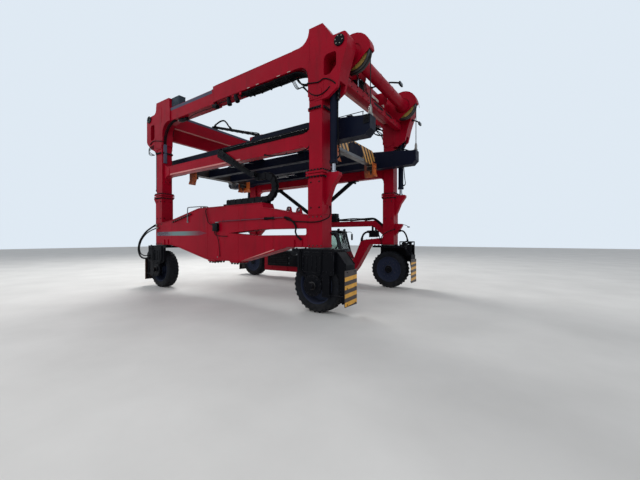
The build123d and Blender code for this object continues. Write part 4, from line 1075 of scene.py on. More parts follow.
    # hoses and fittings at the front end of the left lift beam and the left head
    for lane in (0.0, 0.035):
        add_hose(hose, [(2.52, 2.10 - lane, 5.44), (2.66, 2.06 - lane, 5.39), (2.78, 2.02 - lane, 5.23),
            (2.92, 1.98 - lane, 5.08), (2.985, 1.98 - lane, 4.95)], 0.014)
    add_swept_rod(hose, [(4.17, 1.82, 5.93), (4.205, 1.83, 5.82), (4.232, 1.84, 5.66)], 5, 0.005, 6)
    piece("head_hoses", hose, HOSE, "upper_frame")
    piece("head_black_parts", black, BLACK, "upper_frame")
    piece("head_steel_parts", steel, STEEL, "upper_frame")
    piece("head_brackets", red, RED, "upper_frame")
    piece("leg_shade_strips", shade_strip, PAINTED_SHADE, "upper_frame")
    # hoses and shackles at the lift beams' front ends
    hose, black = bmesh.new(), bmesh.new()
    add_rod(hose, (3.36, -1.60, 4.372), (3.36, -1.60, 4.445), 0.010, 8)
    add_rod(hose, (3.34, -1.60, 4.440), (4.02, -1.60, 4.440), 0.009, 8)
    add_rod(hose, (4.00, -1.60, 4.30), (4.00, -1.60, 4.445), 0.010, 8)
    for lane in (0.0, 0.05):
        add_hose(hose, [(3.30, 1.66, 4.372), (3.46, 1.68 + lane, 4.42), (3.66, 1.69 + lane, 4.46),
            (3.84, 1.70 + lane, 4.41), (4.00, 1.69 + lane, 4.33)], 0.014)
    for sy in (-1, 1):
        add_box(black, (3.60, 3.74), mirror_pair(sy, 1.52, 1.64), (4.335, 4.415), 0.010)
        for side in (-1, 1):
            add_prism(black, "y", [(4.085, 4.10), (4.200, 4.10), (4.232, 4.14), (4.232, 4.24), (4.195, 4.288),
                (4.10, 4.288)], sy * ROPE_Y + side * 0.140, sy * ROPE_Y + side * 0.152, 0.002)
            add_bolt(black, (4.18, sy * ROPE_Y + side * 0.152, 4.19), (0, side, 0), 0.040, 0.022)
    piece("lift_beam_end_hoses", hose, HOSE, "spreader")
    piece("lift_beam_end_plates", black, BLACK, "spreader")


# Hoist: torque tubes with flared ends, ochre sheave cheeks and dark rims
TUBE_HALF = [
    # distance from the middle, radius
    (0.000, 0.150), (0.380, 0.150), (0.384, 0.156), (0.396, 0.156), (0.400, 0.150), (1.300, 0.150),
    (1.350, 0.153), (1.420, 0.172), (1.490, 0.196), (1.532, 0.2045), (1.536, 0.120),
]
SHEAVE_ROWS = [
    # distance outward from the rope's plane, radius
    (-0.080, 0.130), (-0.080, 0.232), (-0.050, 0.245), (-0.044, 0.345), (-0.056, 0.360), (-0.078, 0.362),
    (-0.080, 0.392), (-0.072, 0.400), (-0.030, 0.400), (-0.020, 0.392), (-0.012, 0.3785), (0.000, 0.3755),
    (0.012, 0.3785), (0.020, 0.392), (0.030, 0.400), (0.072, 0.400), (0.080, 0.392), (0.078, 0.362),
    (0.056, 0.360), (0.044, 0.345), (0.050, 0.245), (0.080, 0.225), (0.080, 0.130),
]


def make_hoist(end, sx):
    body = "hoist_" + end
    middle = Vector((sx * HOIST_X, 0, HOIST_Z))
    form = bmesh.new()
    rows = [(-u, r) for u, r in reversed(TUBE_HALF[1:])] + TUBE_HALF
    add_turned(form, middle, (0, 1, 0), [(-1.536, 0.0)] + rows + [(1.536, 0.0)], 64)
    tube = piece("torque_tube_" + end, form, RED, body, sharp=30)

    form = bmesh.new()
    for side in (-1, 1):
        plane = middle + Vector((0, side * ROPE_Y, 0))
        add_turned(form, plane, (0, side, 0), SHEAVE_ROWS, 96, closed=True)
        for step in range(8):
            angle = math.radians(45 * step + 10)
            for cheek in (-1, 1):
                start = plane + Vector((0.250 * math.cos(angle), cheek * 0.052, 0.250 * math.sin(angle)))
                end_spot = plane + Vector((0.340 * math.cos(angle), cheek * 0.052, 0.340 * math.sin(angle)))
                add_bar(form, start, end_spot, 0.012, 0.020, (0, 1, 0), 0.002)
    for face in form.faces:
        spot = face.calc_center_median()
        reach = math.hypot(spot.x - middle.x, spot.z - middle.z)
        face.material_index = 1 if reach > 0.366 else 2 if reach < 0.262 else 0
    piece("rope_sheaves_" + end, form, [OCHRE, DARK_STEEL, RED], body, 30)
    form = bmesh.new()
    for side in (-1, 1):
        add_turned(form, middle + Vector((0, side * ROPE_Y, 0)), (0, side, 0),
            [(0.080, 0.100), (0.080, 0.135), (0.300, 0.130), (0.302, 0.072), (0.359, 0.070), (0.359, 0.0),
            (0.100, 0.0), (0.100, 0.100)], 48, closed=True)
    piece("tube_journals_" + end, form, RED, body, sharp=30)
    form = bmesh.new()
    for side in (-1, 1):
        plane = middle + Vector((0, side * ROPE_Y, 0))
        ring = [plane + Vector((0.390 * math.cos(a), 0, 0.390 * math.sin(a))) for a in angles(96)]
        add_sweep(form, ring + ring[:1], 0.012, 10)
    piece("wound_rope_" + end, form, ROPE, body)
    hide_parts("hoist_tube_" + end)


STRANDS = 6
ROPE_LAY = 0.15


def make_rope(corner, sx, sy):
    """A laid wire rope from the sheave to the socket."""
    x, y = sx * ROPE_X, sy * ROPE_Y
    top, bottom = HOIST_Z, 4.52
    form = bmesh.new()
    count = 96
    for strand in range(STRANDS):
        line = []
        for step in range(count + 1):
            z = top + (bottom - top) * step / count
            angle = 2 * math.pi * ((top - z) / ROPE_LAY + strand / STRANDS)
            line.append(Vector((x + 0.0072 * math.cos(angle), y + 0.0072 * math.sin(angle), z)))
        add_sweep(form, line, 0.0046, 6)
    add_sweep(form, [Vector((x, y, top + (bottom - top) * step / 24)) for step in range(25)], 0.005, 6)
    return blended_piece("hoist_rope_" + corner, form, ROPE, ("upper_frame", "spreader"), (x, y, top),
        (x, y, 4.54))


# Energy chain: one link after another round the loop
CHAIN_X = (0.09, 1.56)
CHAIN_END_X = 1.20
CHAIN_LOW = 2.532
CHAIN_HIGH = 3.290
CHAIN_DEPTH = 0.170
CHAIN_PITCH = 0.118


def chain_place(distance):
    """Middle point and heading on the chain's loop at a distance from its fixed end."""
    radius = (CHAIN_HIGH - CHAIN_LOW - CHAIN_DEPTH) / 2
    low = CHAIN_LOW + CHAIN_DEPTH / 2
    straight = CHAIN_X[1] - CHAIN_X[0]
    if distance < straight:
        return (CHAIN_X[0] + distance, low), 0.0
    angle = (distance - straight) / radius
    if angle < math.pi:
        return (CHAIN_X[1] + radius * math.sin(angle), low + radius * (1 - math.cos(angle))), angle
    beyond = distance - straight - math.pi * radius
    return (CHAIN_X[1] - beyond, low + 2 * radius), math.pi


def make_energy_chain():
    radius = (CHAIN_HIGH - CHAIN_LOW - CHAIN_DEPTH) / 2
    total = CHAIN_X[1] - CHAIN_X[0] + math.pi * radius + CHAIN_X[1] - CHAIN_END_X
    count = int(total / CHAIN_PITCH)
    form = bmesh.new()
    for index in range(count):
        (x, z), heading = chain_place((index + 0.5) * total / count)
        turn = Matrix.Translation((x, -LEG_Y, z)) @ Matrix.Rotation(-heading, 4, "Y")
        for side in (-1, 1):
            link = [(-0.048, -0.078), (0.048, -0.078), (0.066, -0.046), (0.066, 0.046), (0.048, 0.078),
                    (-0.048, 0.078), (-0.066, 0.046), (-0.066, -0.046)]
            shift = 0.012 if index % 2 else 0.0
            add_prism(form, "y", link, side * (0.046 - shift), side * (0.058 - shift), 0.003, turn)
        for level in (-0.072, 0.072):
            add_box(form, (-0.022, 0.022), (-0.050, 0.050), around(level, 0.009), 0.003, turn)
    ends = (CHAIN_X[1], -LEG_Y, CHAIN_LOW), (CHAIN_X[1], -LEG_Y, CHAIN_HIGH)
    chain = blended_piece("chain_links", form, PLASTIC, ("chassis", "upper_frame"), *ends, sharp=30)

    form = bmesh.new()
    steps = 72
    for lane, rise, thick in ((-0.030, -0.040, 0.015), (-0.028, 0.020, 0.017), (0.002, -0.010, 0.012),
            (0.004, 0.044, 0.013), (0.030, -0.036, 0.012), (0.028, 0.016, 0.015)):
        line = []
        for step in range(steps + 1):
            (x, z), heading = chain_place(step * total / steps)
            lift = rise + 0.009 * math.sin(step * 0.9 + lane * 90) + 0.005 * math.sin(step * 2.3 + rise * 70)
            line.append(Vector((x - lift * math.sin(heading), -LEG_Y + lane, z + lift * math.cos(heading))))
        add_sweep(form, line, thick, 6)
    for lane, thick, wave in ((-0.018, 0.010, 1.1), (0.020, 0.012, 2.4)):
        line = []
        for step in range(14, 66):
            (x, z), heading = chain_place(step * total / steps)
            lift = -0.086 - 0.012 * math.sin(step * wave)
            line.append(Vector((x - lift * math.sin(heading), -LEG_Y + lane, z + lift * math.cos(heading))))
        add_sweep(form, line, thick, 6)
    blended_piece("chain_hoses", form, HOSE, ("chassis", "upper_frame"), *ends)
    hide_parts("energy_chain")


# Right side beam: lips, welds, splice bolts, pipe, hoses, terminal box, handrail, pale band
BEAM_FACE = -(LEG_Y + SLEEVE_HALF)
BEAM_TOP_ROWS = [
    # x, z
    (-3.378, 2.150), (-2.980, 2.150), (-2.420, 2.220), (-0.990, 2.520), (1.590, 2.520), (1.640, 2.400),
    (2.980, 2.150), (3.378, 2.150),
]
BEAM_LOW_ROWS = [
    # x, z
    (-3.378, 1.430), (-2.500, 1.430), (-2.090, 1.370), (-0.600, 1.026), (0.810, 1.026), (1.950, 1.300),
    (2.400, 1.430), (3.378, 1.430),
]
SLIT_ROWS = [
    # x, z
    (0.300, 1.775), (1.400, 1.700), (2.960, 1.700), (2.960, 1.860), (1.500, 1.860),
]


def make_right_beam():
    form = bmesh.new()
    for rows, side in ((BEAM_TOP_ROWS, -1), (BEAM_LOW_ROWS, 1)):
        for (x_a, z_a), (x_b, z_b) in zip(rows, rows[1:]):
            for y in (BEAM_FACE - 0.006, -LEG_Y + SLEEVE_HALF + 0.006):
                shift = side * 0.008
                add_bar(form, (x_a, y, z_a + shift), (x_b, y, z_b + shift), 0.018, 0.016, ease=0.003)
    for (x_a, z_a), (x_b, z_b) in round_trip(SLIT_ROWS):
        add_weld(form, [(x_a, BEAM_FACE, z_a), (x_b, BEAM_FACE, z_b)], 0.007)
    add_weld(form, [(-0.07, BEAM_FACE, 1.65), (-0.15, BEAM_FACE, 1.14)], 0.006)
    for x in (-0.58, 0.72):
        add_weld(form, [(x, BEAM_FACE, 1.05), (x, BEAM_FACE, 2.50)], 0.004)
    for x, low, high in ((-2.42, 1.44, 2.20), (1.95, 1.32, 1.68), (1.95, 1.88, 2.33), (2.98, 1.45, 2.14)):
        add_weld(form, [(x, BEAM_FACE, low), (x, BEAM_FACE, high)], 0.005)
    # end gussets over the slewing rings
    for sx in (-1, 1):
        for x in (2.62, 2.84):
            add_prism(form, "y", [(sx * x - 0.008, 1.43), (sx * x + 0.008, 1.43), (sx * x + 0.008, 1.60),
                (sx * x - 0.008, 1.60)], BEAM_FACE - 0.028, BEAM_FACE + 0.004, 0.002)
    piece("side_beam_lips", form, RED, "chassis")

    # Painted highlight: a pale red strip along the belly's lower edge stands in for light thrown up from the
    # ground.
    form = bmesh.new()
    add_bar(form, (0.86, BEAM_FACE - 0.003, 1.042), (1.99, BEAM_FACE - 0.003, 1.360), 0.006, 0.024, (0, 0, 1),
        0.001)
    piece("belly_painted_highlight", form, PAINTED_HIGHLIGHT, "chassis")
    form = bmesh.new()
    band = [(-3.30, 1.720), (-0.95, 1.720), (-0.60, 1.785), (-0.95, 1.850), (-3.30, 1.850)]
    add_prism(form, "y", band, BEAM_FACE - 0.0025, BEAM_FACE + 0.001)
    piece("pale_side_band", form, PALE_BAND, "chassis")

    form = bmesh.new()
    add_bolts(form, [(x, -LEG_Y + y, 0.9865) for x in (-0.51, -0.40, -0.29, 0.43, 0.54, 0.65)
        for y in (-0.15, -0.05, 0.05, 0.15)], (0, 0, -1), 0.056, 0.044)
    for x, z in ((2.300, 2.340), (2.600, 2.300)):
        add_ring(form, (x, -LEG_Y - 0.020, z), (0, -1, 0), (0.0, 0.006), (0.026, 0.052), 28)
    add_bolts(form, [(sx * LEG_X + u, BEAM_FACE, z) for sx in (-1, 1) for u in spread(-0.16, 0.16, 4)
        for z in (1.47, 2.10)], (0, -1, 0), 0.024, 0.016)
    for x in (-0.98, -0.86, -0.79, 0.2, 1.2, 1.5):
        add_solid(form, (x, -2.22, 2.520), (0, 0, 1), [(0.0, 0.020), (0.030, 0.020), (0.036, 0.012),
            (0.048, 0.012)], 12)
    piece("side_beam_bolts", form, DARK_STEEL, "chassis")

    # pipe along the face with its brackets and a lever
    form = bmesh.new()
    y = BEAM_FACE - 0.030
    pipe = bmesh.new()
    add_rod(pipe, (-0.03, y, 2.100), (2.37, y, 2.120), 0.015, 12)
    piece("side_pipe", pipe, PIPE, "chassis")
    saddle = bmesh.new()
    for x in (0.10, 0.85, 1.60, 2.32):
        add_box(saddle, around(x, 0.014), (BEAM_FACE - 0.048, BEAM_FACE), (2.088, 2.130), 0.004)
    piece("side_pipe_saddles", saddle, RED, "chassis")
    add_rod(form, (1.70, y, 2.112), (2.02, y, 2.116), 0.030, 16)
    for x in (1.72, 1.78, 1.96, 2.0):
        add_ring(form, (x, y, 2.113), (1, 0, 0), (-0.006, 0.006), (0.028, 0.036), 16)
    add_box(form, (-0.230, -0.050), (BEAM_FACE - 0.085, BEAM_FACE), (1.840, 2.040), 0.010)
    add_box(form, (-0.240, -0.040), (BEAM_FACE - 0.094, BEAM_FACE - 0.080), (1.830, 2.050), 0.005)
    add_bolts(form, [(x, BEAM_FACE - 0.094, z) for z in (1.87, 2.01) for x in (-0.215, -0.065)], (0, -1, 0),
        0.014, 0.006)
    for x in (-0.20, -0.14, -0.08):
        add_rod(form, (x, BEAM_FACE - 0.045, 1.815), (x, BEAM_FACE - 0.045, 1.842), 0.013, 8)
    add_rod(form, (-0.262, BEAM_FACE - 0.045, 2.000), (-0.228, BEAM_FACE - 0.045, 2.000), 0.014, 8)
    piece("side_pipe_and_box", form, BLACK, "chassis")

    form = bmesh.new()
    add_box(form, (-0.205, -0.060), (BEAM_FACE - 0.030, BEAM_FACE), (2.062, 2.092), 0.004)
    add_box(form, (-0.150, -0.120), (BEAM_FACE - 0.006, BEAM_FACE), (1.095, 1.130), 0.003)
    rail = [(-1.52, y, 2.13), (-1.515, y, 2.42), (-1.50, y, 2.535), (-1.44, y, 2.565), (-0.98, y, 2.560),
            (-0.80, y, 2.552), (-0.66, -2.25, 2.545), (-0.63, -2.22, 2.515)]
    add_swept_rod(form, rail, 5, 0.015, 10)
    for x, z in ((-1.52, 2.13), (-1.515, 2.32)):
        add_box(form, around(x, 0.03), (BEAM_FACE - 0.034, BEAM_FACE), around(z, 0.018), 0.004)
    piece("handrail", form, GREY, "chassis")

    # tread plates where the beam slopes towards the rear leg
    form = bmesh.new()
    slope = (2.520 - 2.220) / (2.420 - 0.990)
    for index in range(9):
        x = -2.36 + index * 0.115
        z = 2.226 + (x + 2.420) * slope
        add_box(form, (x, x + 0.085), (-2.27, -1.93), around(z, 0.012), 0.003)
        for rib in spread(-2.24, -1.96, 8):
            add_box(form, (x + 0.008, x + 0.077), around(rib, 0.005), (z + 0.012, z + 0.018))
        add_box(form, (x, x + 0.085), (BEAM_FACE - 0.052, BEAM_FACE), (z - 0.100, z - 0.086), 0.003)
        add_box(form, (x + 0.076, x + 0.085), (BEAM_FACE - 0.052, BEAM_FACE), (z - 0.100, z - 0.050), 0.002)
    piece("tread_plates", form, DARK_STEEL, "chassis")

    form = bmesh.new()
    y = BEAM_FACE - 0.026
    add_hose(form, [(2.34, y, 2.12), (2.48, y, 2.09), (2.62, y, 1.98), (2.68, y, 1.88), (2.665, y, 1.78),
        (2.72, y, 1.68), (2.83, y, 1.60)], 0.020, 10)
    add_hose(form, [(2.40, y, 2.07), (2.60, y, 2.02), (2.87, y, 2.00), (3.15, y, 1.985), (3.34, y, 2.00),
        (3.43, -2.25, 2.04), (3.47, -2.15, 2.10), (3.44, -2.06, 2.20), (3.41, -2.02, 2.34)], 0.013)
    add_hose(form, [(-0.63, -2.24, 2.530), (-0.62, -2.315, 2.44), (-0.60, -2.32, 2.33), (-0.55, -2.32, 2.20),
        (-0.50, -2.33, 2.10), (-0.40, -2.33, 2.04), (-0.262, BEAM_FACE - 0.045, 2.000)], 0.011)
    add_hose(form, [(-0.20, BEAM_FACE - 0.045, 1.818), (-0.20, y - 0.01, 1.76), (-0.16, y, 1.72),
        (0.05, y, 1.695), (0.30, y, 1.69)], 0.009)
    add_hose(form, [(-0.14, BEAM_FACE - 0.045, 1.818), (-0.14, y - 0.01, 1.74), (-0.10, y, 1.66),
        (-0.04, y, 1.50), (-0.02, y + 0.006, 1.30), (-0.02, y + 0.014, 1.14)], 0.008)
    piece("side_beam_hoses", form, HOSE, "chassis")


def make_steer_hoses():
    """Hydraulic hoses that loop from the side beam down to the wheel units."""
    left_loop = [(2.96, 1.95, 1.396), (2.955, 1.90, 1.46), (2.965, 1.835, 1.60), (3.04, 1.810, 1.74),
                 (3.18, 1.815, 1.84), (3.34, 1.835, 1.90), (3.412, 1.92, 1.93), (3.376, 2.02, 1.94)]
    # corner, radius, then the points
    loops = [
        ("rear_right", 0.028, [(-3.28, -2.34, 2.08), (-3.42, -2.41, 2.00), (-3.68, -2.46, 1.86),
                               (-3.95, -2.465, 1.68), (-4.14, -2.465, 1.48), (-4.200, -2.465, 1.24),
                               (-4.09, -2.465, 1.04), (-3.90, -2.46, 0.965), (-3.74, -2.43, 0.96),
                               (-3.64, -2.376, 0.97)]),
        ("rear_right", 0.018, [(-3.24, -2.34, 1.98), (-3.44, -2.42, 1.90), (-3.68, -2.47, 1.78),
                               (-3.97, -2.475, 1.57), (-4.11, -2.475, 1.32), (-4.04, -2.47, 1.12),
                               (-3.84, -2.45, 1.05), (-3.72, -2.42, 1.05), (-3.62, -2.376, 1.06)]),
        ("front_left", 0.014, left_loop),
        ("front_left", 0.025, [(3.50, 2.06, 1.870), (3.58, 2.05, 1.885), (3.66, 2.05, 1.860),
                               (3.725, 2.06, 1.770), (3.765, 2.08, 1.650), (3.780, 2.10, 1.535)]),
        ("rear_left", 0.014, [(-x, y, z) for x, y, z in left_loop]),
        ("front_right", 0.014, [(3.50, -1.95, 1.396), (3.52, -1.90, 1.46), (3.50, -1.86, 1.58),
                                (3.44, -1.86, 1.68), (3.372, -1.95, 1.76)]),
    ]
    for index, (corner, radius, points) in enumerate(loops):
        form = bmesh.new()
        add_hose(form, points, radius, 10, 8)
        bodies = ["chassis", "steer_" + corner]
        if points[0][2] < points[-1][2]:
            bodies.reverse()
        blended_piece(f"steer_hose_{corner}_{index}", form, HOSE, bodies, points[0], points[-1])
    form = bmesh.new()
    for x, z in ((-3.26, 2.08), (-3.22, 1.98)):
        add_box(form, (x - 0.05, x + 0.035), (-2.360, BEAM_FACE + 0.004), around(z, 0.028), 0.006)
    piece("hose_fittings", form, ZINC, "chassis")


# Top beams: hose bundles with saddles, hose sleeves, welds, painted shade and painted highlight strips
def make_top_beams():
    form = bmesh.new()
    saddles = bmesh.new()
    for sy in (-1, 1):
        y = sy * LEG_Y
        lanes = [(-0.02, 0.018), (0.02, 0.016), (0.055, 0.020), (0.095, 0.016),
            (0.130, 0.019), (-0.062, 0.018), (-0.100, 0.015), (-0.134, 0.017), (0.035, 0.013), (0.110, 0.012),
            (-0.080, 0.012)]
        for order, (lane, radius) in enumerate(lanes):
            low = (5.468 if order < 8 else 5.430) - radius
            sag = dice.uniform(0.006, 0.02)
            points = [(0.62 + 0.03 * order, y + sy * lane, 5.455)]
            for x in spread(0.98, 2.40, 8):
                wave = sag * abs(math.sin(x * 4.1 + lane * 30))
                points.append((x, y + sy * (lane + 0.004 * math.sin(x * 9)), low - wave))
            if order not in (1, 5):
                points += [(2.62, y + sy * lane, 5.43), (2.80, y + sy * (lane * 0.8), 5.37),
                           (2.93, y + sy * (lane * 0.6), 5.27), (2.985, y + sy * (lane * 0.6), 5.14)]
            else:
                points += [(2.52, y + sy * lane, 5.38), (2.63, y + sy * lane, 5.24),
                           (2.75, y + sy * lane, 5.17), (2.90, y + sy * (lane * 0.6), 5.13),
                           (2.985, y + sy * (lane * 0.6), 5.03)]
            add_hose(form, points, radius, 8, 4)
        for x in (1.02, 1.30, 1.62, 1.95, 2.30):
            add_clamp(saddles, (x, y, 5.482), (1, 0, 0), (0, 0, -1), 0.28, 0.080, 0.030)
        # the rear half, thinner, along the inner side
        for lane, radius in ((0.0, 0.012), (0.03, 0.010)):
            points = [(-0.40, y - sy * 0.176, 5.56 + lane)]
            points += [(x, y - sy * 0.166, 5.53 + lane - 0.012 * abs(math.sin(x * 3))) for x in
                       spread(-0.6, -2.7, 9)]
            points += [(-2.90, y - sy * 0.185, 5.36 + lane), (-3.0, y - sy * 0.19, 5.10 + lane)]
            add_hose(form, points, radius, 8, 4)
        for x in (-0.70, -1.20, -1.70, -2.20, -2.60):
            add_clamp(saddles, (x, y - sy * 0.150, 5.545), (1, 0, 0), (0, -sy, 0), 0.09, 0.032, 0.03)
    # hoses that come down from the front right head onto the leg
    for lane in (0.0, 0.034, 0.066):
        add_hose(form, [(2.38 + lane, -2.12, 5.47), (2.46 + lane, -2.14, 5.26), (2.60 + lane, -2.17, 5.08),
            (2.74 + lane, -2.20, 5.07), (2.86 + lane * 0.5, -2.24, 4.99), (2.975, -2.20 + lane, 4.84),
            (2.988, -2.17 + lane, 4.66), (2.985, -2.17 + lane, 4.40)], 0.009)
    piece("top_beam_hoses", form, HOSE, "upper_frame")
    piece("top_beam_saddles", saddles, BLACK, "upper_frame")

    form = bmesh.new()
    for sy in (-1, 1):
        y = sy * LEG_Y
        for side in (1, -1):
            face = y + side * TOP_BEAM_HALF
            for z in (5.484, 5.916):
                add_weld(form, [(-0.24, face, z), (2.50, face, z)], 0.006)
            add_weld(form, [(2.545, face, 5.49), (2.545, face, 5.91)], 0.007)
            face = y + side * REAR_BEAM_HALF
            for z in (5.444, 5.846):
                add_weld(form, [(-2.50, face, z), (-0.36, face, z)], 0.006)
    piece("top_beam_welds", form, RED, "upper_frame")
    # Grey-blue painted shade along the upper edges of the rear top beams' sides and the end girders' faces,
    # and pale red painted highlight under the girders.
    form, sleeves, pale = bmesh.new(), bmesh.new(), bmesh.new()
    for sy in (-1, 1):
        for side in (-1, 1):
            face = sy * LEG_Y + side * REAR_BEAM_HALF
            add_box(form, (-3.00, -0.42), off(face, side, 0, 0.003), (5.752, 5.845), 0.001)
            for x in (1.10, 1.42, 2.12, 2.44):
                add_box(sleeves, around(x, 0.05), off(face, side, 0.030, 0.036), (5.474, 5.486), 0.001)
    # painted shade strips high on the end girders' faces, painted highlight strips under the girders
    for sx in (-1, 1):
        add_box(form, mirror_pair(sx, 3.0098, 3.006), (-1.88, 1.88), (5.800, 5.880), 0.001)
        add_box(pale, mirror_pair(sx, 3.030, 3.130), (-1.86, 1.86), (5.4165, 5.4198), 0.001)
    piece("girder_painted_highlights", pale, PAINTED_HIGHLIGHT, "upper_frame")
    piece("painted_shade_edges", form, PAINTED_SHADE, "upper_frame")
    piece("hose_sleeves", sleeves, ZINC, "upper_frame")


# End girders: fittings, valve blocks, sensors, lamps
def make_girders():
    black, chrome, hose = bmesh.new(), bmesh.new(), bmesh.new()
    red, pale = bmesh.new(), bmesh.new()
    for sx in (1, -1):
        shelf = sx * 3.640
        for y in spread(-1.75, 1.75, 13):
            add_bolt(black, (shelf, y, 5.14), (sx, 0, 0), 0.024, 0.015)
            add_bolt(black, (shelf, y, 5.25), (sx, 0, 0), 0.024, 0.015)
        add_weld(red, [(sx * 3.372, -1.85, 5.424), (sx * 3.372, 1.85, 5.424)], 0.007)
        for y in (-1.35, -0.68, 0.0, 0.68, 1.35):
            add_prism(red, "y", [(sx * 3.368, 5.40), (sx * 3.630, 5.28), (sx * 3.630, 5.31),
                (sx * 3.368, 5.60)], y - 0.008, y + 0.008)
        # valve block on the shelf with its hoses
        add_box(black, mirror_pair(sx, 3.365, 3.58), (-0.95, -0.70), (5.30, 5.58), 0.008)
        add_prism(black, "x", [(-0.16, 5.262), (0.34, 5.262), (0.42, 5.225), (0.34, 5.190), (-0.16, 5.190),
            (-0.24, 5.225)], sx * 3.639, sx * 3.643, 0.001)
        add_prism(black, "x", [(0.62, 5.252), (1.02, 5.252), (1.08, 5.222), (1.02, 5.194), (0.62, 5.194),
            (0.56, 5.222)], sx * 3.639, sx * 3.643, 0.001)
        for step, y in enumerate(spread(-0.92, -0.73, 4)):
            add_rod(chrome, (sx * 3.585, y, 5.535), (sx * 3.615, y, 5.535), 0.014, 10)
            add_hose(hose, [(sx * 3.610, y, 5.535), (sx * 3.635, y, 5.52), (sx * 3.640, y + 0.05, 5.40),
                (sx * 3.600, y + 0.08 + 0.02 * step, 5.30)], 0.008)
        for lane in (0.0, 0.03, 0.06):
            add_hose(hose, [(sx * 3.40, -0.60 + lane, 5.56), (sx * 3.39, -0.2, 5.50 + lane),
                (sx * 3.388, 0.6, 5.505 + lane), (sx * 3.388, 1.4, 5.50 + lane),
                (sx * 3.388, 1.88, 5.54 + lane)], 0.011, 8, 5)
        for y in (-0.1, 0.4, 0.9, 1.45):
            add_clamp(black, (sx * 3.372, y, 5.54), (0, 1, 0), (sx, 0, 0), 0.12, 0.034, 0.03)
        for y in (-1.9, -1.3, 1.3, 1.9):
            add_weld(red, [(sx * 3.371, y, 5.43), (sx * 3.371, y, 5.86)], 0.005)
        # journal brackets of the torque tube
        for y in (-0.70, 0.70):
            add_prism(red, "y", [(sx * 3.36, 5.52), (sx * 3.60, 5.54), (sx * 3.64, 5.62), (sx * 3.64, 5.82),
                (sx * 3.60, 5.87), (sx * 3.36, 5.88)], y - 0.012, y + 0.012, 0.003)
    add_rod(pale, (3.66, -1.42, 5.60), (3.66, -1.42, 5.80), 0.045, 20)
    add_rod(black, (3.66, -1.42, 5.795), (3.66, -1.42, 5.845), 0.050, 20)
    add_box(black, (3.37, 3.66), around(-1.42, 0.03), (5.58, 5.605), 0.003)
    add_rod(chrome, (3.60, -1.08, 5.29), (3.60, -1.08, 5.60), 0.030, 16)
    add_box(pale, (3.3715, 3.379), (0.22, 1.10), (5.610, 5.690), 0.003)
    piece("girder_black_parts", black, BLACK, "upper_frame")
    piece("girder_chrome_parts", chrome, CHROME, "upper_frame")
    piece("girder_hoses", hose, HOSE, "upper_frame")
    piece("girder_red_parts", red, RED, "upper_frame")
    piece("girder_sensor", pale, WHITE, "upper_frame")

    # lamps on stalks and the equipment box
    form, glassy = bmesh.new(), bmesh.new()
    add_swept_rod(form, [(3.30, 0.30, 5.912), (3.62, 0.30, 5.914), (3.84, 0.30, 5.910), (4.02, 0.30, 5.862),
        (4.185, 0.30, 5.805)], 5, 0.022, 12)
    add_box(form, (3.26, 3.36), (0.25, 0.35), (5.895, 5.926), 0.005)
    add_swept_rod(form, [(3.94, 2.10, 5.43), (4.06, 2.15, 5.385), (4.13, 2.20, 5.33)], 5, 0.020, 12)
    add_box(form, (3.915, 3.955), (2.06, 2.14), (5.395, 5.465), 0.005)
    for x, y, z in ((4.190, 0.30, 5.775), (4.14, 2.21, 5.31)):
        add_box(form, (x - 0.022, x + 0.018), around(y, 0.105), around(z, 0.045), 0.008)
        for fin in spread(-0.085, 0.085, 8):
            add_box(form, (x - 0.036, x - 0.020), around(y + fin, 0.003), around(z, 0.038))
        add_box(glassy, (x + 0.016, x + 0.021), around(y, 0.095), around(z, 0.036), 0.003)
    lamp_set = piece("lamp_housings", form, BLACK, "upper_frame")
    piece("lamp_lenses", glassy, LENS, "upper_frame")
    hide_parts("lamps")
    form = bmesh.new()
    add_box(form, (-2.550, -2.120), (-2.210, -1.990), (5.850, 6.155), 0.014)
    add_box(form, (-2.556, -2.114), (-2.216, -1.984), (6.150, 6.168), 0.006)
    add_box(form, (-2.530, -2.140), (-2.216, -2.208), (5.880, 6.120), 0.006)
    for x in (-2.50, -2.17):
        add_box(form, around(x, 0.014), (-2.222, -2.212), (5.94, 6.06), 0.003)
    for z in spread(5.92, 6.00, 5):
        add_box(form, (-2.44, -2.22), (-2.221, -2.214), (z - 0.006, z + 0.004), 0.002)
    add_bolts(form, [(x, y * 0.985, 5.850) for x in (-2.49, -2.18) for y in (-2.24, -1.96)], (0, 0, 1), 0.020,
        0.014)
    piece("equipment_box", form, BOX, "upper_frame")


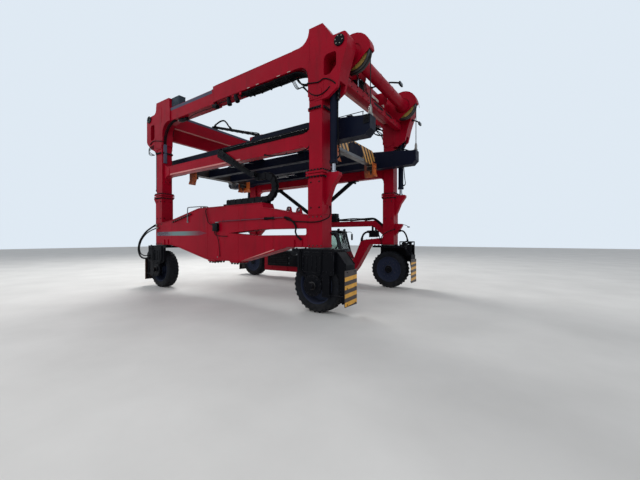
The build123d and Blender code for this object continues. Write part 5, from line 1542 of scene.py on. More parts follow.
# Middle beams: tray with hoses and cables, chain arm rails, sagging cable, brace feet
def make_mid_beams():
    hose, black, red = bmesh.new(), bmesh.new(), bmesh.new()
    for index in range(9):
        y = -LEG_Y - 0.075 + index * 0.019
        radius = dice.choice((0.008, 0.010, 0.012))
        points = []
        for x in spread(-0.18, 2.78, 14):
            points.append((x, y + dice.uniform(-0.010, 0.010),
                           4.030 + dice.uniform(0.0, 0.055) + 0.03 * math.sin(x * 2 + index)))
        points += [(2.90, y, 4.07), (2.99, y, 4.14), (3.005, y, 4.28)]
        add_swept_rod(hose, points, 3, radius, 7)
    for x in spread(0.0, 2.7, 7):
        add_box(black, around(x, 0.015), (-LEG_Y - 0.106, -LEG_Y + 0.106), (4.118, 4.134), 0.003)
    for x in spread(-0.1, 2.75, 10):
        add_box(black, around(x, 0.012), (-LEG_Y - 0.106, -LEG_Y - 0.098), (3.995, 4.13), 0.003)
    # thin cable hanging below the right middle beam
    add_hose(hose, [(1.60, -2.206, 3.71), (1.74, -2.21, 3.665), (1.88, -2.21, 3.640), (2.26, -2.21, 3.612),
        (2.71, -2.21, 3.612), (2.90, -2.21, 3.640), (3.0, -2.205, 3.70)], 0.015)
    # cables tied to the tray's outer side
    for lane, radius in ((0.0, 0.008), (0.030, 0.006), (0.052, 0.009)):
        add_swept_rod(hose, [(x, -2.216, 4.030 + lane + 0.006 * math.sin(x * 6 + lane * 80))
            for x in spread(-0.15, 2.92, 16)], 3, radius, 6)
    for x in (1.60, 2.30, 3.0):
        add_clamp(black, (x, -2.198, 3.70 if x != 2.30 else 3.63), (1, 0, 0), (0, -1, 0), 0.045, 0.024, 0.025,
            0.010)
    # hoses from the tray onto the arm and down to the chain's moving end
    for lane in (-0.022, 0.0, 0.022):
        add_hose(hose, [(0.05, -2.12 + lane, 4.10), (-0.06, -2.20 + lane, 4.12),
            (-0.11, -2.262 + lane * 0.5, 4.03), (-0.03, -2.288 + lane * 0.2, 3.94),
            (0.30, -2.288 + lane * 0.2, 3.775), (0.80, -2.288, 3.515 + lane), (1.12, -2.285, 3.345 + lane),
            (1.20, -2.20, 3.27 + lane * 0.5), (1.22, -2.12 + lane, 3.25)], 0.010, 8, 5)
    for x, z in ((0.10, 3.905), (0.50, 3.695), (0.90, 3.485)):
        add_bar(black, (x, -2.300, z - 0.045), (x + 0.03, -2.300, z + 0.045), 0.012, 0.026, (1, 0, 0), 0.003)
    # rails of the chain arm
    for shift in (0.0, 0.075):
        add_bar(black, (-0.10, -2.282, 3.915 + shift), (1.19, -2.282, 3.232 + shift), 0.010, 0.020,
            ease=0.003)
    add_box(black, (1.205, 1.285), (-2.20, -2.04), (3.292, 3.318), 0.004)
    add_bolts(black, [(1.245, y, 3.318) for y in (-2.14, -2.10, -2.06)], (0, 0, 1), 0.018, 0.010)
    for sy in (-1, 1):
        for face, side in ((sy * (LEG_Y + MID_BEAM_HALF), sy), (sy * (LEG_Y - MID_BEAM_HALF), -sy)):
            for z in (3.694, 3.996):
                add_weld(red, [(-2.86, face, z), (2.86, face, z)], 0.005)
            for sx in (-1, 1):
                add_prism(red, "y", [(sx * 2.70, 3.74), (sx * 2.98, 3.62), (sx * 2.98, 4.06),
                    (sx * 2.70, 3.95)], face - side * 0.002, face + side * 0.010, 0.003)
    # Painted highlight: pale red strips low on the middle beams' faces stand in for light thrown up from the
    # ground.
    edge = bmesh.new()
    for sy in (-1, 1):
        for side in (-1, 1):
            face = sy * LEG_Y + side * MID_BEAM_HALF
            add_box(edge, (-2.66, 0.70), off(face, side, 0, 0.003), (3.702, 3.748), 0.001)
    piece("mid_beam_painted_highlights", edge, PAINTED_HIGHLIGHT, "upper_frame")
    # end flanges of the middle beams, bolted to the legs
    for sx in (-1, 1):
        add_bolts(black, [(sx * 2.990, sy * LEG_Y + y, z) for sy in (-1, 1) for z in (3.52, 3.62, 4.05)
            for y in (-0.07, 0.07)], (-sx, 0, 0), 0.026, 0.018)
    # brace ends on the left
    for side in (-1, 1):
        add_solid(black, (side * 1.84, LEG_Y - 0.065, 3.63), (0, 1, 0), [(0.0, 0.036), (0.130, 0.036)], 20)
    add_solid(black, (0.0, LEG_Y - 0.075, 2.50), (0, 1, 0), [(0.0, 0.034), (0.150, 0.034)], 20)
    piece("tray_hoses", hose, HOSE, "upper_frame")
    piece("mid_beam_black_parts", black, BLACK, "upper_frame")
    piece("mid_beam_plates", red, RED, "upper_frame")


# Load frame and spreader
def make_side_shift():
    """Slide plates, brackets and the pair of side shift cylinders on the cross beams' tops."""
    dark, grey, steel = bmesh.new(), bmesh.new(), bmesh.new()
    for sy in (-1, 1):
        y = sy * 1.10
        add_box(dark, (-1.03, 0.05), mirror_pair(sy, 0.60, 1.45), (4.135, 4.150), 0.003)
        add_box(dark, (-1.00, 0.02), mirror_pair(sy, 0.99, 1.21), (4.150, 4.158), 0.003)
        add_box(dark, (-0.94, -0.86), around(y, 0.08), (3.94, 4.137), 0.004)
        add_box(dark, (-0.10, -0.02), around(y, 0.05), (3.94, 4.137), 0.004)
        add_bolts(dark, [(x, sy * reach, 4.150) for x in (-0.96, -0.30, -0.02)
            for reach in (0.66, 0.90, 1.30, 1.39)], (0, 0, 1), 0.024, 0.014)
        add_solid(grey, (-0.98, y, 4.00), (1, 0, 0), [(0.0, 0.056), (0.006, 0.062), (0.452, 0.062),
            (0.458, 0.078), (0.536, 0.078), (0.540, 0.072)], 32)
        add_rod(grey, (-0.50, y, 4.07), (-0.50, y, 4.105), 0.018, 12)
        add_rod(steel, (-0.45, y, 4.00), (-0.05, y, 4.00), 0.024, 20)
        add_ring(steel, (-0.16, y, 4.00), (1, 0, 0), (0.0, 0.06), (0.024, 0.040), 16)
    plates = piece("side_shift_plates", dark, DARK, "spreader")
    piece("side_shift_barrels", grey, GREY, "spreader", sharp=30)
    piece("side_shift_rods", steel, CHROME, "spreader", sharp=30)
    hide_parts("side_shift")


def make_sockets():
    """Rope sockets: a block with cheeks and a pin, a cast cone and a ferrule."""
    form, pins = bmesh.new(), bmesh.new()
    for corner, sx, sy in CORNERS:
        x, y = sx * ROPE_X, sy * ROPE_Y
        add_box(form, around(x, 0.040), around(y, 0.045), (4.290, 4.345), 0.006)
        add_turned(form, (x, y, 4.338), (0, 0, 1), [(0.0, 0.0), (0.0, 0.034), (0.030, 0.038), (0.120, 0.038),
            (0.170, 0.028), (0.185, 0.020), (0.200, 0.017), (0.202, 0.0)], 28)
        for cheek in (-0.054, 0.054):
            add_prism(form, "y", [(x - 0.038, 4.288), (x + 0.038, 4.288), (x + 0.038, 4.350),
                (x + 0.018, 4.372), (x - 0.018, 4.372), (x - 0.038, 4.350)], y + cheek - 0.007,
                y + cheek + 0.007, 0.002)
        add_rod(pins, (x, y - 0.075, 4.330), (x, y + 0.075, 4.330), 0.016, 16)
        add_rod(pins, (x, y - 0.082, 4.330), (x, y - 0.066, 4.330), 0.024, 6)
        add_rod(pins, (x, y + 0.066, 4.330), (x, y + 0.082, 4.330), 0.024, 6)
    sockets = piece("socket_castings", form, STEEL, "spreader", sharp=30)
    piece("socket_pins", pins, STEEL, "spreader", sharp=30)
    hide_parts("rope_sockets")


def make_spreader():
    dark, hose, steel, grey = bmesh.new(), bmesh.new(), bmesh.new(), bmesh.new()
    for sy, tall_from in ((-1, 0.6), (1, -2.1)):
        for side in (-1, 1):
            face = sy * LIFT_BEAM_Y + side * 0.150
            for start, end, z in ((-2.73, 2.73, 3.934), (tall_from + 0.1, 2.59, 4.436),
                    (-3.39, tall_from, 4.346)):
                add_weld(dark, [(start, face, z), (end, face, z)], 0.006)
            for x in spread(-3.5, 3.5, 8):
                add_box(dark, around(x, 0.006), off(face, side, 0, 0.010), (3.93, 4.28), 0.002)
        for sx in (-1, 1):
            add_box(dark, mirror_pair(sx, 4.12, 4.232), mirror_pair(sy, 1.47, 1.73), (4.272, 4.291), 0.003)
            add_bolts(dark, [(sx * 4.15, sy * LIFT_BEAM_Y + lane, 4.291) for lane in (-0.11, 0.11)],
                (0, 0, 1), 0.020, 0.012)
    # hoses of the side shift cylinders
    for sy in (-1, 1):
        for lane in (0.0, 0.035):
            add_hose(hose, [(-0.50, sy * 1.10, 4.100), (-0.45, sy * (1.02 - lane), 4.17),
                (-0.20, sy * 0.92, 4.19), (0.40, sy * (0.80 + lane), 4.185), (1.20, sy * (0.74 + lane), 4.18),
                (1.36, sy * (0.70 + lane), 4.19)], 0.011, 8, 5)
    # drive that turns the twist locks of the rear end
    drive = Vector((-3.12, 0.77, 3.688))
    add_solid(grey, drive, (0, 0, 1), [(0.0, 0.076), (0.010, 0.086), (0.160, 0.086), (0.166, 0.098),
        (0.174, 0.098)], 32)
    for angle in angles(14):
        add_box(grey, (-0.003, 0.003), (0.082, 0.096), (0.020, 0.150), 0.0,
            Matrix.Translation(drive) @ Matrix.Rotation(angle, 4, "Z"))
    add_bolts(grey, [(x, y, 3.86) for x in (-3.19, -3.05) for y in (0.67, 0.87)], (0, 0, -1), 0.020, 0.012)
    for lane in (0.0, 0.04):
        add_hose(hose, [(-3.20, 0.70 + lane, 3.93), (-3.26, 0.66 + lane, 3.92), (-3.27, 0.56 + lane, 4.00),
            (-3.22, 0.48 + lane, 4.14), (-3.12, 0.44 + lane, 4.26), (-2.99, 0.40 + lane, 4.335)], 0.011, 8, 5)
    for sx in (-1, 1):
        for sy in (-1, 1):
            x, y = sx * LOCK_X, sy * LOCK_Y
            add_box(steel, around(x, 0.094), around(y, 0.094), (3.862, 3.902), 0.008)
            add_bolt(steel, (x, y, 3.902), (0, 0, 1))
            add_ring(steel, (x, y, 3.770), (0, 0, -1), (0.0, 0.012), (0.031, 0.050), 24)
            # flipper hinge on each guide
            hinge_z = 3.995
            add_rod(dark, (sx * 2.67, sy * 1.262, hinge_z), (sx * 3.03, sy * 1.262, hinge_z), 0.020, 14)
            add_rod(dark, (sx * 3.066, sy * 1.02, hinge_z), (sx * 3.066, sy * 1.24, hinge_z), 0.018, 14)
            for z in (3.82, 3.93):
                add_bolts(dark, [(sx * u, sy * 1.2545, z) for u in (2.90, 2.76)], (0, sy, 0), 0.022, 0.012)
                add_bolts(dark, [(sx * 3.055, sy * v, z) for v in (1.08, 1.19)], (sx, 0, 0), 0.022, 0.012)
        # ledge and dark panel on the striped beam
        add_box(grey, mirror_pair(sx, 3.026, 3.060), (-1.05, 0.40), (3.890, 3.958), 0.005)
        add_prism(dark, "x", [(-0.48, 3.965), (-0.48, 4.200), (-0.26, 4.285), (0.16, 4.285), (0.34, 4.170),
            (0.34, 3.965)], sx * 3.024, sx * 3.042, 0.003)
        add_bolts(dark, [(sx * 3.042, y, z) for y in (-0.42, 0.28) for z in (4.00, 4.14)], (sx, 0, 0), 0.016,
            0.008)
        for y in (-0.95, -0.5, 0.45, 0.95):
            add_box(dark, mirror_pair(sx, 2.86, 3.0), around(y, 0.05), (4.325, 4.345), 0.004)
        add_hose(hose, [(sx * 1.60, -0.30, 4.325), (sx * 1.9, -0.33, 4.28), (sx * 2.3, -0.35, 4.20),
            (sx * 2.7, -0.38, 4.24), (sx * 2.90, -0.42, 4.335)], 0.012)
        for sy in (-1, 1):
            add_bolts(dark, [(sx * x, sy * y, 4.33) for x in (1.42, 1.58) for y in (0.45, 0.55, 1.38)],
                (0, 0, 1), 0.026, 0.018)
            add_prism(dark, "y", [(sx * 1.38, 4.15), (sx * 1.62, 4.15), (sx * 1.66, 3.99), (sx * 1.34, 3.99)],
                sy * 0.6 - 0.008 * sy, sy * 0.6 + 0.010 * sy, 0.003)
    piece("spreader_dark_parts", dark, DARK, "spreader")
    piece("spreader_hoses", hose, HOSE, "spreader")
    piece("spreader_steel_parts", steel, STEEL, "spreader")
    piece("spreader_grey_parts", grey, GREY, "spreader")

    # hose arm: strands, clips, T end and the loop at its tip
    form, clips = bmesh.new(), bmesh.new()
    for lane, lift in ((-0.020, 0.0), (0.020, 0.006)):
        add_hose(form, [(0.775, -LIFT_BEAM_Y + lane, 4.47), (0.77, -LIFT_BEAM_Y + lane, 4.57),
            (0.60, -LIFT_BEAM_Y + lane, 4.625 + lift), (0.20, -LIFT_BEAM_Y + lane, 4.742 + lift),
            (-0.30, -LIFT_BEAM_Y + lane, 4.897 + lift), (-0.80, -LIFT_BEAM_Y + lane, 5.051 + lift),
            (-1.10, -LIFT_BEAM_Y + lane, 5.145 + lift), (-1.17, -LIFT_BEAM_Y + lane, 5.158 + lift)], 0.012)
    add_hose(form, [(-1.165, -LIFT_BEAM_Y, 5.150), (-1.12, -LIFT_BEAM_Y, 5.200), (-1.05, -LIFT_BEAM_Y, 5.225),
        (-0.88, -LIFT_BEAM_Y, 5.262), (-0.71, -LIFT_BEAM_Y, 5.245), (-0.58, -LIFT_BEAM_Y, 5.140),
        (-0.50, -LIFT_BEAM_Y, 5.040), (-0.39, -LIFT_BEAM_Y, 4.940)], 0.024)
    for x in spread(-1.05, 0.55, 8):
        z = 5.128 - (x + 1.16) * 0.313
        add_box(clips, around(x, 0.012), (-1.640, -1.560), (z - 0.034, z + 0.044), 0.003)
    add_rod(clips, (-1.155, -1.70, 5.118), (-1.155, -1.50, 5.118), 0.020, 12)
    add_box(clips, (0.60, 0.80), (-1.67, -1.53), (4.436, 4.452), 0.004)
    add_bolts(clips, [(x, y, 4.452) for x in (0.625, 0.775) for y in (-1.65, -1.55)], (0, 0, 1), 0.018, 0.012)
    piece("arm_hoses", form, HOSE, "spreader")
    piece("arm_clips", clips, BLACK, "spreader")


make_camera()
make_light()
scene.view_settings.view_transform = "Standard"
make_right_beam()
make_steer_hoses()
make_top_beams()
make_girders()
make_head_fittings()
make_mid_beams()
make_side_shift()
make_sockets()
make_spreader()
rods, barrels, ropes = [], [], []
for corner, sx, sy in CORNERS:
    make_wheel(corner, sx, sy)
    make_yoke(corner, sx, sy)
    rod, barrel = make_leg(corner, sx, sy)
    rods.append(rod)
    barrels.append(barrel)
    make_head(corner, sx, sy)
    ropes.append(make_rope(corner, sx, sy))
for end, sx in (("front", 1), ("rear", -1)):
    make_hoist(end, sx)
make_energy_chain()
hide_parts("lift_rods")
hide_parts("lift_barrels")
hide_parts("hoist_ropes")


# Left side: hoses, box and lamp of the upper chord, welds and steps of the drop frame
CHORD_FACE = 0.100
FRAME_FACE = 0.150


def make_left_side():
    hose, black, red, steel = bmesh.new(), bmesh.new(), bmesh.new(), bmesh.new()
    for lane, rise, radius in ((-0.066, 0.048, 0.021), (-0.050, 0.096, 0.019), (-0.012, 0.062, 0.020),
            (0.022, 0.100, 0.018), (0.052, 0.054, 0.021)):
        y = LEG_Y + lane
        points = [(x, y + 0.006 * math.sin(x * 5 + lane * 60), 2.24 + rise + 0.010 * math.sin(x * 7
            + lane * 90)) for x in spread(-2.5, 2.42, 18)]
        points += [(2.60, y, 2.262 + rise * 0.7), (2.74, y, 2.150 + rise), (2.88, y, 2.035 + rise),
                   (2.975, y, 1.975 + rise)]
        add_swept_rod(hose, points, 4, radius, 8)
    for x in spread(-2.3, 2.3, 9):
        add_box(black, around(x, 0.020), around(LEG_Y, 0.085), (2.236, 2.262), 0.003)
        add_box(black, around(x, 0.014), around(LEG_Y, 0.080), (2.306, 2.322), 0.003)
        for side in (-1, 1):
            add_rod(steel, (x, LEG_Y + side * 0.076, 2.255), (x, LEG_Y + side * 0.076, 2.334), 0.006, 8)
    # box hung under the front end of the chord, its hose loop and the pump box further back
    add_box(black, (2.490, 2.790), (LEG_Y - 0.150, LEG_Y + 0.010), (1.685, 1.900), 0.010)
    add_box(black, (2.480, 2.800), (LEG_Y - 0.158, LEG_Y - 0.148), (1.675, 1.910), 0.004)
    add_box(black, (2.560, 2.600), (LEG_Y - 0.120, LEG_Y - 0.020), (1.895, 2.070), 0.004)
    add_box(black, (2.680, 2.715), (LEG_Y - 0.120, LEG_Y - 0.020), (1.895, 1.990), 0.004)
    add_bolts(steel, [(x, LEG_Y - 0.158, z) for x in (2.50, 2.72) for z in (1.700, 1.885)], (0, -1, 0), 0.014,
        0.006)
    add_hose(hose, [(2.20, 1.945, 1.560), (2.235, 1.925, 1.68), (2.30, 1.92, 1.79), (2.40, 1.925, 1.850),
        (2.47, 1.95, 1.862), (2.52, 1.965, 1.86)], 0.034, 14)
    add_hose(hose, [(2.73, 2.00, 1.84), (2.80, 1.965, 1.82), (2.86, 1.94, 1.73), (2.88, 1.93, 1.66),
        (2.885, 1.945, 1.60)], 0.014)
    add_box(black, (0.880, 1.140), around(LEG_Y, 0.13), (2.240, 2.420), 0.012)
    add_box(black, (0.900, 1.120), around(LEG_Y, 0.11), (2.418, 2.560), 0.014)
    for z in spread(2.45, 2.53, 4):
        add_box(black, (0.892, 1.128), around(LEG_Y, 0.118), around(z, 0.005), 0.002)
    # brackets of the brace on the chord, welds of chord, frame and ears
    for sx in (-1, 1):
        for side in (-1, 1):
            face = LEG_Y + side * (CHORD_FACE + 0.001)
            add_weld(red, [(sx * 3.000, face, 1.975), (sx * 2.680, face, 2.238), (0, face, 2.238)], 0.006)
            add_weld(red, [(sx * 3.000, face, 1.725), (sx * 2.600, face, 2.062), (0, face, 2.062)], 0.006)
            add_weld(red, [(sx * 2.990, face, 1.74), (sx * 2.990, face, 1.96)], 0.007)
            face = LEG_Y + side * (FRAME_FACE + 0.001)
            add_weld(red, [(sx * 2.995, face, 1.450), (sx * 2.995, face, 1.640)], 0.007)
    for side in (-1, 1):
        face = LEG_Y + side * (FRAME_FACE + 0.001)
        add_weld(red, [(2.99, face, 1.652), (2.18, face, 1.572), (1.85, face, 0.822), (1.56, face, 0.500)],
            0.006)
        add_weld(red, [(2.99, face, 1.444), (2.50, face, 1.444), (2.00, face, 0.600), (1.72, face, 0.284),
            (-2.46, face, 0.284)], 0.006)
        add_weld(red, [(-2.99, face, 1.638), (-2.34, face, 1.638), (-2.25, face, 1.54), (-2.25, face, 0.51)],
            0.006)
        # stiffeners on the rising arms
        add_prism(red, "y", [(1.90, 0.74), (2.02, 0.70), (2.30, 1.30), (2.16, 1.36)], LEG_Y + side * 0.148,
            LEG_Y + side * 0.160, 0.003)
        for x in (-2.05, -1.20, -0.35, 0.35, 1.20):
            add_box(red, around(x, 0.010), (LEG_Y + side * 0.148, LEG_Y + side * 0.166), (0.285, 0.495),
                0.002)
    add_bolts(black, [(x, LEG_Y - 0.08, 1.585 + (x - 2.18) * 0.098) for x in spread(2.35, 2.95, 4)],
        (-0.09, 0, 1), 0.022, 0.014)
    # lamp on its stalk at the front ear
    add_swept_rod(black, [(3.60, 2.10, 2.085), (3.66, 2.10, 2.078), (3.74, 2.10, 2.052), (3.80, 2.10, 2.010)],
        5, 0.008, 8)
    add_box(black, (3.775, 3.840), (2.07, 2.13), (1.985, 2.022), 0.006)
    # steps to the cab door
    for z, reach in ((0.300, 0.385), (0.455, 0.370)):
        add_box(steel, (0.62, 1.08), (LEG_Y + 0.180, LEG_Y + reach), (z, z + 0.018), 0.003)
        for x in spread(0.64, 1.06, 12):
            add_box(steel, around(x, 0.006), (LEG_Y + 0.185, LEG_Y + reach - 0.005), (z + 0.017, z + 0.024))
        for x in (0.63, 1.07):
            add_box(steel, around(x, 0.008), (LEG_Y + 0.148, LEG_Y + reach - 0.02), (z - 0.03, z + 0.004),
                0.002)
    piece("left_side_hoses", hose, HOSE, "chassis")
    piece("left_side_black_parts", black, BLACK, "chassis")
    piece("left_side_plates", red, RED, "chassis")
    piece("left_side_steel_parts", steel, STEEL, "chassis")


# Power pack: louvre blades, doors with latches and hinges, lid seam, caps, exhaust
PACK_Y = (1.850, 2.440)


def make_power_pack():
    form, grey, steel = bmesh.new(), bmesh.new(), bmesh.new()
    for face, side in ((PACK_Y[0], -1), (PACK_Y[1], 1)):
        for row in range(6):
            z = 0.600 + row * 0.075
            for x_low, x_high in ((-2.075, -1.765), (-1.755, -1.445), (-1.435, -1.125)):
                add_prism(form, "x", [(face + side * 0.004, z + 0.001), (face - side * 0.018, z + 0.026),
                    (face - side * 0.018, z + 0.031), (face + side * 0.008, z + 0.003)], x_low, x_high)
        for x in (-2.10, -1.76, -1.44, -1.10):
            add_box(form, around(x, 0.010), off(face, side, -0.004, 0.010), (0.570, 1.050), 0.003)
        for z in (0.570, 1.050):
            add_box(form, (-2.11, -1.09), off(face, side, -0.004, 0.010), around(z, 0.010), 0.003)
        # smooth doors ahead of the louvres
        for x_low, x_high in ((-1.02, -0.48), (-0.46, 0.10)):
            add_box(form, (x_low, x_high), off(face, side, -0.004, 0.009), (0.54, 0.92), 0.006)
            for z in (0.62, 0.84):
                add_rod(grey, (x_low + 0.012, face + side * 0.014, z - 0.035),
                    (x_low + 0.012, face + side * 0.014, z + 0.035), 0.009, 10)
            add_box(grey, (x_high - 0.080, x_high - 0.040), off(face, side, 0, 0.018), (0.700, 0.760), 0.004)
        add_weld(form, [(-2.19, face, 1.100), (-0.98, face, 1.100)], 0.004)
    # lid, caps and lifting eyes
    add_box(form, (-2.19, -0.98), (PACK_Y[0] + 0.02, PACK_Y[1] - 0.02), (1.116, 1.128), 0.004)
    for x, y in ((-0.70, 2.00), (-0.30, 2.28)):
        add_turned(grey, (x, y, 0.958), (0, 0, 1), [(0.0, 0.0), (0.0, 0.045), (0.018, 0.045), (0.022, 0.058),
            (0.044, 0.056), (0.048, 0.0)], 24)
    for x in (-2.05, -1.10):
        for y in (1.95, 2.34):
            add_ring(steel, (x, y - 0.008, 1.150), (0, 1, 0), (0.0, 0.016), (0.014, 0.030), 20)
    # radiator grille at the rear end
    for z in spread(0.58, 1.04, 14):
        add_box(form, (-2.212, -2.198), (PACK_Y[0] + 0.05, PACK_Y[1] - 0.05), around(z, 0.006), 0.002)
    for y in (PACK_Y[0] + 0.05, PACK_Y[1] - 0.05, (PACK_Y[0] + PACK_Y[1]) / 2):
        add_box(form, (-2.214, -2.198), around(y, 0.010), (0.57, 1.05), 0.002)
    piece("pack_panels", form, BLACK, "chassis")
    piece("pack_fittings", grey, GREY, "chassis")
    piece("pack_eyes", steel, STEEL, "chassis")

    # exhaust: perforated heat shield, pipe and rain cap, smooth over the model's stack
    form = bmesh.new()
    stack = Vector((-1.20, 2.35, 1.12))
    add_turned(form, stack, (0, 0, 1), [(0.0, 0.040), (0.0, 0.058), (0.012, 0.062), (0.225, 0.062),
        (0.235, 0.058), (0.240, 0.0465), (0.378, 0.0465), (0.378, 0.040)], 28, closed=True)
    for level in spread(0.03, 0.21, 6):
        add_ring(form, stack + Vector((0, 0, level)), (0, 0, 1), (0.0, 0.010), (0.061, 0.0645), 28)
    add_bar(form, stack + Vector((-0.046, 0, 0.386)), stack + Vector((0.052, 0, 0.392)), 0.092, 0.005,
        ease=0.002)
    piece("exhaust_shield", form, DARK_STEEL, "chassis")


# Cab: seals, wiper, mirrors, handles, grille, beacon and what is seen through the glass
CAB_Y = (1.780, 2.470)
SEAT_MID = 2.125


def add_cushion(form, low, high, turn, channels, crown=0.30, cells=14):
    """A crowned pad: its edges draw in between the corners and sewn channels run across it."""
    made = bmesh.ops.create_cube(form, size=2.0)["verts"]
    edges = list({edge for vert in made for edge in vert.link_edges})
    bmesh.ops.subdivide_edges(form, edges=edges, cuts=cells, use_grid_fill=True)
    middle = (Vector(low) + Vector(high)) / 2
    half = (Vector(high) - Vector(low)) / 2
    for vert in form.verts:
        if vert.tag:
            continue
        x, y, z = vert.co
        far = max(abs(x), abs(y))
        round_off = 1 - crown * far ** 6
        ends = 1 - 0.05 * abs(z) ** 6
        pinch_x = 1 - 0.045 * (1 - y * y)
        pinch_y = 1 - 0.045 * (1 - x * x)
        groove = 0.0
        if z > 0:
            for channel in channels:
                groove += 0.16 * math.exp(-((x - channel) / 0.045) ** 2)
            for channel in (-0.62, 0.62):
                groove += 0.14 * math.exp(-((y - channel) / 0.05) ** 2)
        seam = 0.035 * math.exp(-(z / 0.12) ** 2) * far ** 10
        vert.co = Vector((
            middle.x + half.x * x * ends * pinch_x * (1 - seam),
            middle.y + half.y * y * ends * pinch_y * (1 - seam),
            middle.z + half.z * z * (round_off - groove),
        ))
        vert.co = turn @ vert.co
        vert.tag = True


def add_piping(form, low, high, turn, radius=0.006):
    """Cord along the seam round the middle of a pad."""
    middle = (Vector(low) + Vector(high)) / 2
    half = (Vector(high) - Vector(low)) / 2
    line = []
    for step in range(49):
        angle = 2 * math.pi * step / 48
        c, s = math.cos(angle), math.sin(angle)
        x = math.copysign(abs(c) ** 0.35, c) * 0.955
        y = math.copysign(abs(s) ** 0.35, s) * 0.955
        line.append(turn @ (middle + Vector((half.x * x, half.y * y, 0))))
    add_sweep(form, line, radius, 6)


def make_seat():
    lean = Matrix.Translation((0.650, 0, 0.840)) @ Matrix.Rotation(math.radians(-82), 4, "Y")
    flat = Matrix.Identity(4)
    form = bmesh.new()
    low, high = (0.640, SEAT_MID - 0.215, 0.765), (1.078, SEAT_MID + 0.215, 0.858)
    add_cushion(form, low, high, flat, (-0.45, 0.10, 0.60))
    add_piping(form, low, high, flat)
    base = piece("seat_base_pad", form, VINYL, "chassis", sharp=60)
    form = bmesh.new()
    low, high = (0.015, SEAT_MID - 0.210, -0.045), (0.560, SEAT_MID + 0.210, 0.045)
    add_cushion(form, low, high, lean @ Matrix.Rotation(math.pi, 4,
        "X") @ Matrix.Translation((0, -2 * SEAT_MID, 0)), (-0.50, 0.0, 0.45))
    add_piping(form, low, high, lean)
    rest = piece("seat_back_pad", form, VINYL, "chassis", sharp=60)
    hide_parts("cab_seat")
    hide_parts("cab_seat")
    form = bmesh.new()
    add_box(form, (0.640, 0.900), around(SEAT_MID, 0.145), (0.545, 0.720), 0.015)
    for level in spread(0.575, 0.690, 5):
        add_box(form, (0.632, 0.908), around(SEAT_MID, 0.153), around(level, 0.008), 0.005)
    add_box(form, (0.620, 1.040), around(SEAT_MID, 0.19), (0.720, 0.768), 0.010)
    add_prism(form, "y", [(0.560, 0.770), (0.625, 0.770), (0.560, 1.400), (0.530, 1.400)], SEAT_MID - 0.17,
        SEAT_MID + 0.17, 0.006)
    for side in (-1, 1):
        add_box(form, (0.66, 0.96), (SEAT_MID + side * 0.216, SEAT_MID + side * 0.218), (0.80, 0.84), 0.0)
    piece("seat_frame", form, PLASTIC, "chassis")


